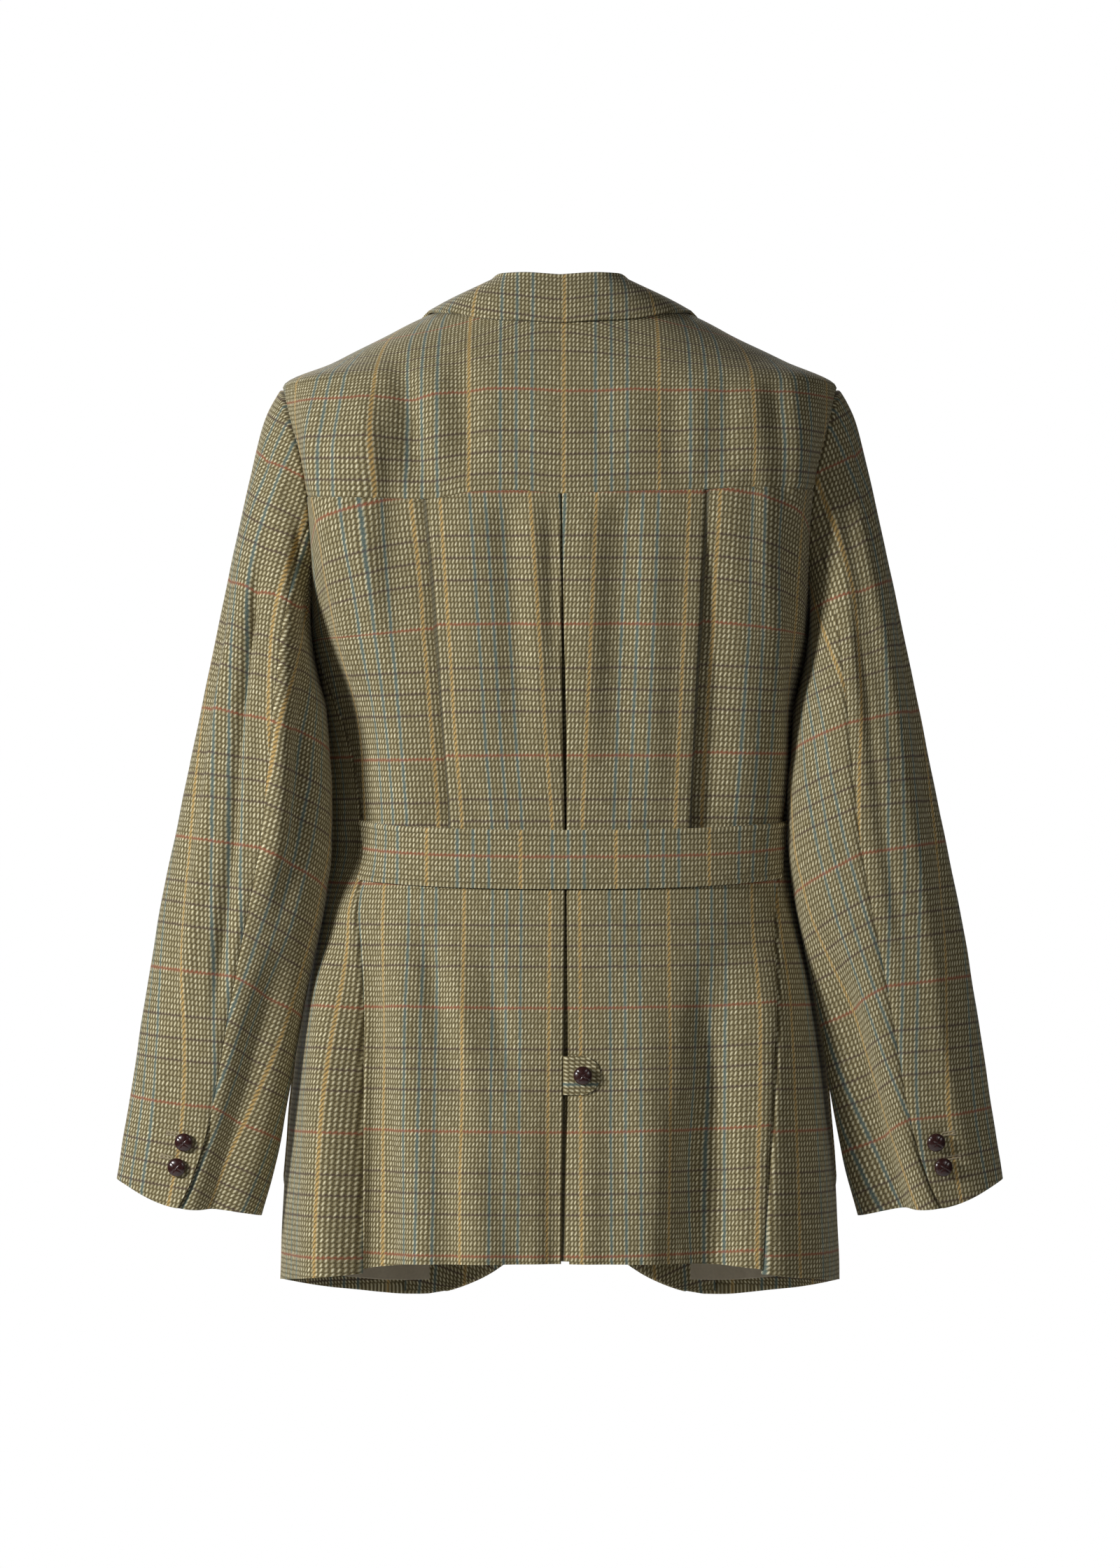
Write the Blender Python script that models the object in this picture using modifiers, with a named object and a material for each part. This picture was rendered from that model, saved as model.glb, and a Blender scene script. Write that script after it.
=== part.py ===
"""Hunting jacket in checked tweed, hollow and filled out as if worn.

Metres. +Z is up, the fronts face -Y, the wearer's left is +X. The origin lies between the
shoulders, at the height where the collar meets the shoulder line.
"""
import math

import bmesh
import bpy
import numpy as np

CLOTH = 0.0014
TWEED_COLOUR = (0.24, 0.21, 0.11)
LEATHER_COLOUR = (0.09, 0.03, 0.02)
PLY_PITCH = 0.0025
SEAM_GAP = 0.0003

SHOULDER_TIP_Z = -0.056
ARMPIT_Z = -0.255
ARMHOLE_HALF_DEPTH = 0.055
YOKE_SEAM_Z = -0.144
NECK_Z = 0.009
WAIST_Z = -0.428
FRONT_TOP_Z = 0.004
LAPEL_FOOT_Z = -0.324
LAPEL_TOP_Z = -0.031
LAPEL_POINT_DROP = 0.042
LAPEL_FOOT_WIDTH = 0.004
LAPEL_WIDTH = 0.080
CROSSING_Z = -0.262
FRONT_TUCK = 0.0085
HEM_SWING = 0.005

PLEAT_DEPTH = 0.021
UNDERLAY_LIFT = 0.008
SLEEVE_SEAM_GAP = 0.0007
CUFF_VENT_SPREAD_DEG = 5.0
CUFF_DROP = 0.010

BELT_TOP_Z = -0.402
BELT_BOTTOM_Z = -0.448
BELT_SAG = 0.0075
BELT_CLOTH = 0.0020
BELT_CLEARANCE = 0.0012

TAB_TOP_Z = -0.587
TAB_BOTTOM_Z = -0.617
TAB_END_X = -0.031
TAB_ROUND_FROM = 0.62
CUFF_BUTTON_RADIUS = 0.0074
FRONT_BUTTON_RADIUS = 0.0095
BUTTON_HALF_THICKNESS = 0.0036

POCKET_TOP_Z = -0.535
POCKET_BOTTOM_Z = -0.708
POCKET_BACK_DEG = 96.0
POCKET_FRONT_X = 0.078
POCKET_CORNER = 0.030
POCKET_WIDTH = 0.150

FACING_HEM_X = 0.128
FACING_TOP_X = 0.100
FACING_TOP_Z = -0.344
LINING_FRONT_X = 0.108
LINING_SIDE_DEG = 100.0
LINING_TOP_Z = -0.560
LINING_LIFT = 0.012
LINING_CLOTH = 0.0010
LINING_COLOUR = (0.48, 0.42, 0.32)

COLLAR_CLOTH = 0.0018

BODY_COLUMNS = ("height", "half_width", "back_depth", "front_depth", "squareness")
BODY_SECTIONS = (
    (-0.800, 0.2235, 0.124, 0.131, 2.35),
    (-0.745, 0.2225, 0.123, 0.131, 2.35),
    (-0.640, 0.2160, 0.119, 0.131, 2.35),
    (-0.540, 0.2040, 0.113, 0.130, 2.35),
    (-0.470, 0.1920, 0.107, 0.128, 2.40),
    (-0.410, 0.1840, 0.103, 0.126, 2.40),
    (-0.340, 0.1860, 0.107, 0.128, 2.45),
    (-0.255, 0.1990, 0.117, 0.132, 2.50),
    (-0.180, 0.2085, 0.121, 0.125, 2.55),
    (-0.120, 0.2160, 0.116, 0.108, 2.55),
    (-0.075, 0.2215, 0.106, 0.088, 2.50),
    (-0.056, 0.2210, 0.100, 0.078, 2.45),
    (-0.036, 0.1800, 0.092, 0.066, 2.40),
    (-0.016, 0.1395, 0.081, 0.052, 2.30),
    (0.003, 0.1015, 0.069, 0.039, 2.20),
    (0.010, 0.0810, 0.062, 0.032, 2.15),
    (0.018, 0.0600, 0.054, 0.024, 2.10),
)

HEM_COLUMNS = ("degrees", "height")
HEM_LINE = (
    (0, -0.7500),
    (25, -0.7505),
    (38, -0.7540),
    (55, -0.7625),
    (90, -0.7700),
    (125, -0.7830),
    (150, -0.7890),
    (180, -0.7890),
)

SIDE_SEAM_COLUMNS = ("height", "from_centre")
SIDE_SEAM = (
    (-0.780, 0.1640),
    (-0.600, 0.1660),
    (-0.430, 0.1705),
    (-0.380, 0.1755),
    (-0.330, 0.1830),
    (-0.290, 0.1905),
    (-0.255, 0.1990),
)

PLEAT_COLUMNS = ("height", "left_edge", "right_edge", "centre_line", "half_opening")
BACK_PLEATS = (
    (-0.800, 0.0850, 0.1010, -0.0040, 0.0040),
    (-0.700, 0.0850, 0.1010, -0.0040, 0.0028),
    (-0.560, 0.0850, 0.1010, -0.0045, 0.0018),
    (-0.428, 0.0850, 0.1010, -0.0045, 0.0014),
    (-0.330, 0.0910, 0.1045, -0.0035, 0.0022),
    (-0.240, 0.0965, 0.1085, -0.0020, 0.0016),
    (-0.144, 0.1030, 0.1125, -0.0010, 0.0013),
)

SIDE_PANEL_COLUMNS = ("share", "ply")
SIDE_PANEL = (
    (0.14, 1.3),
    (0.32, 0.3),
    (0.54, 0.0),
    (0.77, 0.0),
    (1.00, 0.0),
)

FRONT_EDGE_COLUMNS = ("height", "past_centre")
FRONT_EDGE = (
    (-0.789, -0.1120),
    (-0.787, -0.0980),
    (-0.780, -0.0760),
    (-0.768, -0.0540),
    (-0.745, -0.0280),
    (-0.710, -0.0040),
    (-0.660, 0.0130),
    (-0.600, 0.0200),
    (-0.330, 0.0200),
    (-0.315, 0.0157),
    (-0.150, -0.0322),
    (0.015, -0.0800),
)

SLEEVE_COLUMNS = ("station", "outer_x", "outer_z", "inner_x", "inner_z", "centre_y", "half_depth")
SLEEVE_SECTIONS = (
    (0, 0.2210, -0.0560, 0.1990, -0.2550, 0.0000, 0.0550),
    (1, 0.2335, -0.0790, 0.2015, -0.2650, 0.0020, 0.0560),
    (2, 0.2460, -0.1270, 0.1970, -0.2790, 0.0090, 0.0570),
    (3, 0.2577, -0.1800, 0.1935, -0.2960, 0.0195, 0.0575),
    (4, 0.2675, -0.2275, 0.1885, -0.3145, 0.0295, 0.0570),
    (5, 0.2810, -0.2950, 0.1840, -0.3500, 0.0400, 0.0555),
    (6, 0.2910, -0.3445, 0.1815, -0.3820, 0.0450, 0.0535),
    (7, 0.3010, -0.3950, 0.1815, -0.4200, 0.0465, 0.0515),
    (8, 0.3117, -0.4450, 0.1870, -0.4660, 0.0460, 0.0490),
    (9, 0.3212, -0.4960, 0.1970, -0.5160, 0.0450, 0.0455),
    (10, 0.3296, -0.5460, 0.2070, -0.5660, 0.0430, 0.0420),
    (11, 0.3376, -0.5970, 0.2155, -0.6170, 0.0390, 0.0385),
    (12, 0.3459, -0.6470, 0.2250, -0.6670, 0.0330, 0.0350),
    (13, 0.3525, -0.6870, 0.2380, -0.7165, 0.0280, 0.0325),
)
SLEEVE_BLEND_STATION = 4.0
FRONT_ARM_SEAM_DEG = -105.0

HIND_SEAM_COLUMNS = ("station", "degrees")
HIND_SEAM = (
    (0, 97),
    (5, 96),
    (8, 94),
    (11, 89),
    (13, 80),
)

COLLAR_COLUMNS = (
    "turn", "fold_x", "fold_y", "fold_z", "foot_x", "foot_y", "foot_z", "edge_degrees", "edge_z",
)
COLLAR_SECTIONS = (
    (0.00, 0.0000, 0.0560, 0.0305, 0.0000, 0.0602, 0.0085, 0, -0.0095),
    (0.20, 0.0300, 0.0525, 0.0325, 0.0360, 0.0551, 0.0085, 26, -0.0060),
    (0.33, 0.0460, 0.0400, 0.0325, 0.0560, 0.0455, 0.0088, 46, -0.0015),
    (0.50, 0.0570, 0.0080, 0.0250, 0.0795, 0.0110, 0.0090, 88, 0.0020),
    (0.75, 0.0660, -0.0235, 0.0130, 0.0720, -0.0230, 0.0045, 128, -0.0170),
    (1.00, 0.0655, -0.0585, -0.0245, 0.0645, -0.0575, -0.0310, 147, -0.0490),
)

BODY_FOLD_COLUMNS = ("x_top", "x_hem", "z_top", "z_full", "half_width", "depth", "z_end")
BODY_FOLDS = (
    (0.128, 0.132, -0.540, -0.740, 0.030, -0.0075, -0.900),
    (-0.112, -0.121, -0.480, -0.740, 0.027, -0.0085, -0.900),
    (0.050, 0.055, -0.520, -0.740, 0.040, 0.0035, -0.900),
    (-0.062, -0.066, -0.520, -0.740, 0.036, 0.0035, -0.900),
    (0.128, 0.132, -0.060, -0.140, 0.020, -0.0035, -0.380),
    (-0.150, -0.150, -0.060, -0.140, 0.018, -0.0035, -0.380),
)

SLEEVE_FOLD_COLUMNS = (
    "degrees_from", "degrees_to", "station_from", "station_to", "half_degrees", "depth",
)
SLEEVE_FOLDS = (
    (60, 70, 1.0, 6.0, 20, -0.0045),
    (125, 118, 3.0, 8.5, 20, -0.0040),
    (40, 105, 6.0, 9.5, 20, -0.0035),
)


def monotone_slopes(xs, ys):
    """Slopes of a monotone cubic curve through the points."""
    steps = np.diff(xs)
    rises = np.diff(ys) / steps
    slopes = np.zeros(len(ys))
    slopes[0] = rises[0]
    slopes[-1] = rises[-1]
    for i in range(1, len(xs) - 1):
        if rises[i - 1] * rises[i] > 0:
            before = 2 * steps[i] + steps[i - 1]
            after = steps[i] + 2 * steps[i - 1]
            slopes[i] = (before + after) / (before / rises[i - 1] + after / rises[i])
    return slopes


class Curves:
    """The columns of a table as smooth curves over its first column."""

    def __init__(self, columns, rows):
        table = np.array(rows, dtype=float)
        self.places = table[:, 0]
        self.values = {name: table[:, i] for i, name in enumerate(columns) if i}
        self.slopes = {name: monotone_slopes(self.places, self.values[name]) for name in self.values}

    def __call__(self, name, place):
        place = min(max(place, self.places[0]), self.places[-1])
        i = min(max(int(np.searchsorted(self.places, place)) - 1, 0), len(self.places) - 2)
        step = self.places[i + 1] - self.places[i]
        t = (place - self.places[i]) / step
        column = self.values[name]
        slope = self.slopes[name]
        start = (1 + 2 * t) * (1 - t) ** 2 * column[i] + t * (1 - t) ** 2 * step * slope[i]
        end = t * t * (3 - 2 * t) * column[i + 1] + t * t * (t - 1) * step * slope[i + 1]
        return float(start + end)


BODY = Curves(BODY_COLUMNS, BODY_SECTIONS)
HEM = Curves(HEM_COLUMNS, HEM_LINE)
SEAM = Curves(SIDE_SEAM_COLUMNS, SIDE_SEAM)
PLEATS = Curves(PLEAT_COLUMNS, BACK_PLEATS)
EDGE = Curves(FRONT_EDGE_COLUMNS, FRONT_EDGE)
SLEEVE = Curves(SLEEVE_COLUMNS, SLEEVE_SECTIONS)
HIND = Curves(HIND_SEAM_COLUMNS, HIND_SEAM)
COLLAR = Curves(COLLAR_COLUMNS, COLLAR_SECTIONS)

ARMHOLE_Z = (SHOULDER_TIP_Z + ARMPIT_Z) / 2
ARMHOLE_HALF_HEIGHT = (SHOULDER_TIP_Z - ARMPIT_Z) / 2


def mix(a, b, t):
    return a + (b - a) * t


def ease(t):
    t = min(max(t, 0.0), 1.0)
    return t * t * (3 - 2 * t)


def named_rows(columns, rows):
    """The rows of a table, each value under its column's name."""
    return [dict(zip(columns, row)) for row in rows]


def signed_power(value, power):
    return math.copysign(abs(value) ** power, value)


def fold_height(x, z):
    """How far the largest folds of the back push the cloth out at this place."""
    total = 0.0
    for fold in named_rows(BODY_FOLD_COLUMNS, BODY_FOLDS):
        along = (fold["z_top"] - z) / (fold["z_top"] - fold["z_full"])
        leave = 1.0
        if z < fold["z_full"]:
            leave = (z - fold["z_end"]) / (fold["z_full"] - fold["z_end"])
        centre = mix(fold["x_top"], fold["x_hem"], min(max(along, 0.0), 1.0))
        across = 1 - abs(x - centre) / fold["half_width"]
        total += fold["depth"] * ease(along) * ease(leave) * ease(across)
    return total


def body_surface(angle, z):
    """A point of the body: angle 0 is the centre back, 90 degrees the wearer's left side."""
    power = 2 / BODY("squareness", z)
    x = BODY("half_width", z) * signed_power(math.sin(angle), power)
    cosine = math.cos(angle)
    depth = BODY("back_depth", z) if cosine >= 0 else BODY("front_depth", z)
    y = depth * signed_power(cosine, power)
    if cosine > 0:
        y += fold_height(x, z) * min(1.0, 2 * cosine)
    return np.array((x, y, z))


def body_point(angle, z, out=0.0):
    """A point of the body moved out along the surface's normal."""
    point = body_surface(angle, z)
    if not out:
        return point
    around = body_surface(angle + 0.004, z) - body_surface(angle - 0.004, z)
    upward = body_surface(angle, z + 0.002) - body_surface(angle, z - 0.002)
    normal = np.cross(upward, around)
    return point + out * normal / np.linalg.norm(normal)


def back_angle(x, z):
    """The angle on the back at a distance from the centre line."""
    share = min(1.0, abs(x) / BODY("half_width", z))
    return math.copysign(math.asin(share ** (BODY("squareness", z) / 2)), x)


def front_angle(x, z):
    """The angle on the front at a distance from the centre line."""
    return math.copysign(math.pi, x) - back_angle(x, z)


def armhole_angle(z, depth):
    """The angle of the armhole's edge, on the half whose depth is given."""
    level = min(1.0, abs(z - ARMHOLE_Z) / ARMHOLE_HALF_HEIGHT)
    reach = ARMHOLE_HALF_DEPTH * math.sqrt(1 - level * level)
    return math.acos((reach / depth) ** (BODY("squareness", z) / 2))


def back_limit(z):
    """The angle where the back ends: side seam, armhole or shoulder seam."""
    if z <= ARMPIT_Z:
        return back_angle(SEAM("from_centre", z), z)
    if z < SHOULDER_TIP_Z:
        return armhole_angle(z, BODY("back_depth", z))
    return math.pi / 2


def front_limit(z):
    """The angle where a front begins: side seam, armhole or shoulder seam."""
    if z <= ARMPIT_Z:
        return back_angle(SEAM("from_centre", z), z)
    if z < SHOULDER_TIP_Z:
        return math.pi - armhole_angle(z, BODY("front_depth", z))
    return math.pi / 2


def seam_share(z):
    """Half the seam gap as an angle."""
    return 0.5 * SEAM_GAP / BODY("back_depth", z)


def armhole_levels(turn_from, turn_to, count):
    """Heights at even turns round the armhole, 180 degrees being the armpit."""
    turns = np.linspace(turn_from, turn_to, count)
    return [ARMHOLE_Z + ARMHOLE_HALF_HEIGHT * math.cos(math.radians(turn)) for turn in turns]


def armhole_point(turn):
    """A point of the left armhole: turn 0 is the shoulder tip, 90 degrees the back."""
    z = ARMHOLE_Z + ARMHOLE_HALF_HEIGHT * math.cos(turn)
    y = ARMHOLE_HALF_DEPTH * math.sin(turn)
    depth = BODY("back_depth", z) if y >= 0 else BODY("front_depth", z)
    power = BODY("squareness", z)
    x = BODY("half_width", z) * (1 - min(1.0, abs(y) / depth) ** power) ** (1 / power)
    return np.array((x, y, z))


def sleeve_fold(turn, station):
    """How far the largest folds push the sleeve out at this place."""
    total = 0.0
    for fold in named_rows(SLEEVE_FOLD_COLUMNS, SLEEVE_FOLDS):
        along = (station - fold["station_from"]) / (fold["station_to"] - fold["station_from"])
        if 0 < along < 1:
            centre = mix(fold["degrees_from"], fold["degrees_to"], along)
            across = 1 - abs(math.degrees(turn) - centre) / fold["half_degrees"]
            total += fold["depth"] * math.sin(math.pi * along) * ease(across)
    return total


def sleeve_oval(turn, station):
    outer = np.array((SLEEVE("outer_x", station), 0.0, SLEEVE("outer_z", station)))
    inner = np.array((SLEEVE("inner_x", station), 0.0, SLEEVE("inner_z", station)))
    centre = (outer + inner) / 2 + np.array((0.0, SLEEVE("centre_y", station), 0.0))
    depth = np.array((0.0, SLEEVE("half_depth", station), 0.0))
    spoke = (outer - inner) / 2 * math.cos(turn) + depth * math.sin(turn)
    reach = np.linalg.norm(spoke)
    return centre + spoke * (1 + sleeve_fold(turn, station) / reach)


def sleeve_point(turn, station):
    """A point of the left sleeve: turn 0 is the outside of the arm, 90 degrees its back."""
    point = sleeve_oval(turn, station)
    if station < SLEEVE_BLEND_STATION:
        clear = 0.0012 + 0.0012 * (1 - math.cos(turn)) / 2
        start = armhole_point(turn) + np.array((clear, 0.0, 0.0))
        keep = 1 - ease(station / SLEEVE_BLEND_STATION)
        point = point + keep * (start - sleeve_oval(turn, 0.0))
    if station > 12:
        drop = ease(station - 12) * math.exp(-((math.degrees(turn) - 75) / 40) ** 2)
        point = point + np.array((0.0, 0.0, -CUFF_DROP * drop))
    return point


def material(name, colour, roughness):
    made = bpy.data.materials.new(name)
    made.use_nodes = True
    shader = made.node_tree.nodes["Principled BSDF"]
    shader.inputs["Base Color"].default_value = (*colour, 1.0)
    shader.inputs["Roughness"].default_value = roughness
    return made


def finish(mesh, name, colour, roughness, collection):
    for polygon in mesh.polygons:
        polygon.use_smooth = True
    mesh.materials.append(material(name, colour, roughness))
    piece = bpy.data.objects.new(name, mesh)
    collection.objects.link(piece)
    return piece


def cloth_panel(name, surface, columns, rows, collection, colour=TWEED_COLOUR, cloth=CLOTH):
    """A grid bent to surface(column, row) and thickened to both sides."""
    mesh = bpy.data.meshes.new(name)
    grid = bmesh.new()
    across = len(columns) - 1
    along = len(rows) - 1
    bmesh.ops.create_grid(grid, x_segments=across, y_segments=along, size=0.5)
    for vertex in grid.verts:
        column = columns[round((vertex.co.x + 0.5) * across)]
        row = rows[round((vertex.co.y + 0.5) * along)]
        vertex.co = surface(column, row)
    grid.to_mesh(mesh)
    grid.free()
    piece = finish(mesh, name, colour, 0.9, collection)
    shell = piece.modifiers.new("cloth thickness", "SOLIDIFY")
    shell.thickness = cloth
    shell.offset = 0.0
    return piece


def leather_button(name, radius, seat, outward, collection):
    """A flattened ball seated just clear of the cloth, its short axis along outward."""
    mesh = bpy.data.meshes.new(name)
    ball = bmesh.new()
    bmesh.ops.create_uvsphere(ball, u_segments=10, v_segments=6, radius=radius)
    outward = np.array(outward) / np.linalg.norm(outward)
    side = np.cross(outward, (0.0, 0.0, 1.0))
    side = side / np.linalg.norm(side)
    upward = np.cross(outward, side)
    centre = np.array(seat) + outward * (BUTTON_HALF_THICKNESS + SEAM_GAP)
    flat = BUTTON_HALF_THICKNESS / radius
    for vertex in ball.verts:
        x, y, z = vertex.co
        vertex.co = centre + side * x + upward * y + outward * z * flat
    ball.to_mesh(mesh)
    ball.free()
    return finish(mesh, name, LEATHER_COLOUR, 0.35, collection)


def build_yoke(collection):
    rows = [YOKE_SEAM_Z + SEAM_GAP / 2] + armhole_levels(67.5, 0, 4)
    rows += [-0.036, -0.016, -0.002, NECK_Z]

    def surface(share, z):
        return body_point(share * (back_limit(z) - seam_share(z)), z)

    return cloth_panel("back_yoke", surface, np.linspace(-1, 1, 21), rows, collection)


def folded_half(side, opening):
    """Places (distance from the centre line, ply) from the centre out, along the folded edge."""
    bend = PLY_PITCH / 2
    return [
        (0.0, 2.0),
        (side * PLEAT_DEPTH, 2.0),
        (side * (PLEAT_DEPTH + bend), 1.5),
        (side * PLEAT_DEPTH, 1.0),
        (side * (opening + bend), 1.0),
        (side * opening, 0.5),
        (side * (opening + bend), 0.0),
    ]


def upper_back_places(side, z):
    """Angles and plies along half of the upper back, from the centre to its outer edge."""
    bend = PLY_PITCH / 2
    opening = PLEATS("half_opening", z)
    centre = PLEATS("centre_line", z)
    edge = PLEATS("left_edge" if side > 0 else "right_edge", z)
    places = [(x + centre, ply) for x, ply in folded_half(side, opening)]
    start = side * (opening + bend) + centre
    places += [(mix(start, side * (edge - bend), share), 0.0) for share in (0.25, 0.5, 0.75)]
    places += [
        (side * (edge - bend), 0.0),
        (side * edge, 0.5),
        (side * (edge - bend), 1.0),
        (side * (edge - PLEAT_DEPTH), 1.0),
        (side * (edge - PLEAT_DEPTH - bend), 1.5),
        (side * (edge - PLEAT_DEPTH), 2.0),
        (side * (edge + 0.003), 2.0),
    ]
    angles = [(back_angle(x, z), ply) for x, ply in places]
    limit = side * (back_limit(z) - seam_share(z))
    last = angles[-1][0]
    for row in named_rows(SIDE_PANEL_COLUMNS, SIDE_PANEL):
        angles.append((mix(last, limit, row["share"]), row["ply"]))
    return angles


def both_halves(places, z):
    """Half lists for the right and the left, joined at the centre."""
    right = places(-1, z)
    left = places(1, z)
    return right[::-1] + left[1:]


def build_upper_back(collection):
    rows = [WAIST_Z + SEAM_GAP / 2, -0.385, -0.340, -0.297, ARMPIT_Z]
    rows += armhole_levels(157.5, 112.5, 3) + [YOKE_SEAM_Z - SEAM_GAP / 2]
    sections = {z: both_halves(upper_back_places, z) for z in rows}

    def surface(place, z):
        angle, ply = sections[z][place]
        return body_point(angle, z, -ply * PLY_PITCH)

    return cloth_panel("back_upper", surface, range(len(sections[rows[0]])), rows, collection)


def build_skirt(collection):
    rows = np.linspace(0, 1, 8)

    def places(side, z):
        opening = PLEATS("half_opening", z)
        centre = PLEATS("centre_line", z)
        angles = [(back_angle(x + centre, z), ply) for x, ply in folded_half(side, opening)]
        limit = side * (back_limit(z) - seam_share(z))
        last = angles[-1][0]
        shares = (0.16, 0.32, 0.48, 0.64, 0.82, 1.0)
        return angles + [(mix(last, limit, share), 0.0) for share in shares]

    count = len(both_halves(places, WAIST_Z))

    def surface(place, share):
        hem_angle = both_halves(places, -0.750)[place][0]
        under = abs(place - count // 2) <= 3
        hem = HEM("height", abs(math.degrees(hem_angle))) + (UNDERLAY_LIFT if under else 0.0)
        z = mix(hem, WAIST_Z - SEAM_GAP / 2, share)
        angle, ply = both_halves(places, z)[place]
        return body_point(angle, z, -ply * PLY_PITCH)

    return cloth_panel("back_skirt", surface, range(count), rows, collection)


def build_belt(collection):
    def surface(share, level):
        z = mix(BELT_BOTTOM_Z, BELT_TOP_Z, level) - BELT_SAG * (1 - share * share)
        angle = share * (back_angle(SEAM("from_centre", z), z) - seam_share(z))
        return body_point(angle, z, CLOTH / 2 + BELT_CLOTH / 2 + BELT_CLEARANCE)

    columns = np.linspace(-1, 1, 19)
    return cloth_panel("half_belt", surface, columns, (0, 0.33, 0.67, 1), collection, cloth=BELT_CLOTH)


def tab_point(share, level):
    """The vent tab: share 0 is its sewn end in the vent, 1 its round end."""
    middle = (TAB_TOP_Z + TAB_BOTTOM_Z) / 2
    half = (TAB_TOP_Z - TAB_BOTTOM_Z) / 2
    start = PLEATS("centre_line", middle) + PLEATS("half_opening", middle) - 0.0007
    past = max(0.0, (share - TAB_ROUND_FROM) / (1 - TAB_ROUND_FROM))
    narrow = math.sqrt(max(0.0, 1 - (0.94 * past) ** 2.6))
    z = middle + half * level * narrow
    x = mix(start, TAB_END_X, share)
    rise = CLOTH + SEAM_GAP
    out = mix(0.0006, rise, ease(share / 0.12))
    return body_point(back_angle(x, z), z, out)


def build_tab(collection):
    shares = (0, 0.06, 0.14, 0.38, 0.62, 0.76, 0.88, 0.96, 1.0)
    cloth_panel("vent_tab", tab_point, shares, (-1, -0.5, 0, 0.5, 1), collection)
    seat = tab_point(0.54, 0.0) + np.array((0.0, CLOTH / 2, 0.0))
    leather_button("vent_button", CUFF_BUTTON_RADIUS, seat, (0.0, 1.0, 0.0), collection)


def front_edge_x(side, z):
    """The front edge's place, measured from the centre line towards its own side."""
    return -EDGE("past_centre", z) - side * HEM_SWING * ease((-0.640 - z) / 0.120)


def edge_angle(x, z):
    """The angle on the front at a distance from the centre line, past 180 degrees beyond it."""
    return front_angle(x, z) if x > 0 else math.pi + back_angle(-x, z)


def tuck(side, angle, z):
    """How deep the right front runs below the left one near the centre."""
    if side > 0:
        return 0.0
    x = BODY("half_width", z) * math.sin(angle)
    return FRONT_TUCK * ease(1 - (x - 0.010) / 0.075) * ease((-0.165 - z) / 0.080)


def front_point(side, angle, z, out=0.0):
    """A point of a front, moved out from its surface."""
    point = body_point(angle, z, out - tuck(side, angle, z))
    return point * np.array((side, 1.0, 1.0))


def front_hem(angle):
    return HEM("height", math.degrees(angle))


def build_front(side, name, collection):
    rows = [("hem", share) for share in (0.0, 0.02, 0.055, 0.12, 0.22, 0.36, 0.55, 0.78, 1.0)]
    rows += [("level", z) for z in (-0.385, -0.340, -0.297, ARMPIT_Z)]
    rows += [("level", z) for z in armhole_levels(157.5, 0, 8) + [-0.036, -0.016, FRONT_TOP_Z]]

    def surface(share, row):
        kind, value = row
        z = value
        if kind == "hem":
            z = mix(HEM("height", mix(48, 152, share)), WAIST_Z, value)
        start = front_limit(z) + seam_share(z)
        return front_point(side, mix(start, edge_angle(front_edge_x(side, z), z), share), z)

    return cloth_panel(name, surface, np.linspace(0, 1, 17), rows, collection)


def build_lapel(side, name, collection):
    """The turned part of a front, lying on it; the right one starts where the edges cross."""
    foot = LAPEL_FOOT_Z if side > 0 else CROSSING_Z

    def surface(share, level):
        z = mix(foot, LAPEL_TOP_Z - LAPEL_POINT_DROP * share, level)
        width = LAPEL_FOOT_WIDTH + LAPEL_WIDTH * math.sin(math.pi / 2 * level ** 0.8)
        x = front_edge_x(side, z) - 0.0024 + share * width
        out = 0.0014 if share == 0 else CLOTH + 0.0014
        return front_point(side, edge_angle(x, z), z, out)

    columns = (0, 0.06, 0.25, 0.5, 0.75, 1.0)
    return cloth_panel(name, surface, columns, np.linspace(0, 1, 10), collection)


def build_facing(side, name, collection):
    """The strip of cloth behind a front's edge, from the lapel's break to the hem."""
    levels = (-0.7865, -0.780, -0.768, -0.745, -0.710, -0.660, -0.580, -0.470, -0.410, FACING_TOP_Z)

    def surface(share, z):
        back = mix(FACING_HEM_X, FACING_TOP_X, (z - levels[0]) / (levels[-1] - levels[0]))
        x = mix(back, front_edge_x(side, z) + 0.0008, share)
        return front_point(side, edge_angle(x, z), z, -CLOTH - (0.0008 if share == 1 else 0.0024))

    return cloth_panel(name, surface, np.linspace(0, 1, 6), levels, collection)


def build_lining(side, name, collection):
    def surface(share, level):
        front = front_angle(LINING_FRONT_X, -0.770)
        angle = mix(math.radians(LINING_SIDE_DEG), front, share)
        z = mix(front_hem(angle) + LINING_LIFT, LINING_TOP_Z, level)
        return front_point(side, angle, z, -2 * CLOTH - 0.0036)

    columns = np.linspace(0, 1, 7)
    rows = (0, 0.15, 0.4, 0.7, 1)
    return cloth_panel(name, surface, columns, rows, collection, LINING_COLOUR, LINING_CLOTH)


def build_pocket(side, name, collection):
    def surface(share, level):
        middle = (POCKET_TOP_Z + POCKET_BOTTOM_Z) / 2
        from_end = POCKET_WIDTH * min(share, 1 - share)
        corner = max(0.0, POCKET_CORNER - from_end) / POCKET_CORNER
        lift = POCKET_CORNER * (1 - math.sqrt(1 - min(1.0, corner) ** 2)) * 0.8
        z = mix(POCKET_BOTTOM_Z + lift, POCKET_TOP_Z, level)
        start = math.radians(POCKET_BACK_DEG)
        end = front_angle(POCKET_FRONT_X, middle)
        return front_point(side, mix(start, end, share), z, CLOTH + 0.0018)

    shares = (0, 0.03, 0.09, 0.2, 0.4, 0.6, 0.8, 0.91, 0.97, 1)
    return cloth_panel(name, surface, shares, (0, 0.12, 0.4, 0.7, 1), collection)


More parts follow.
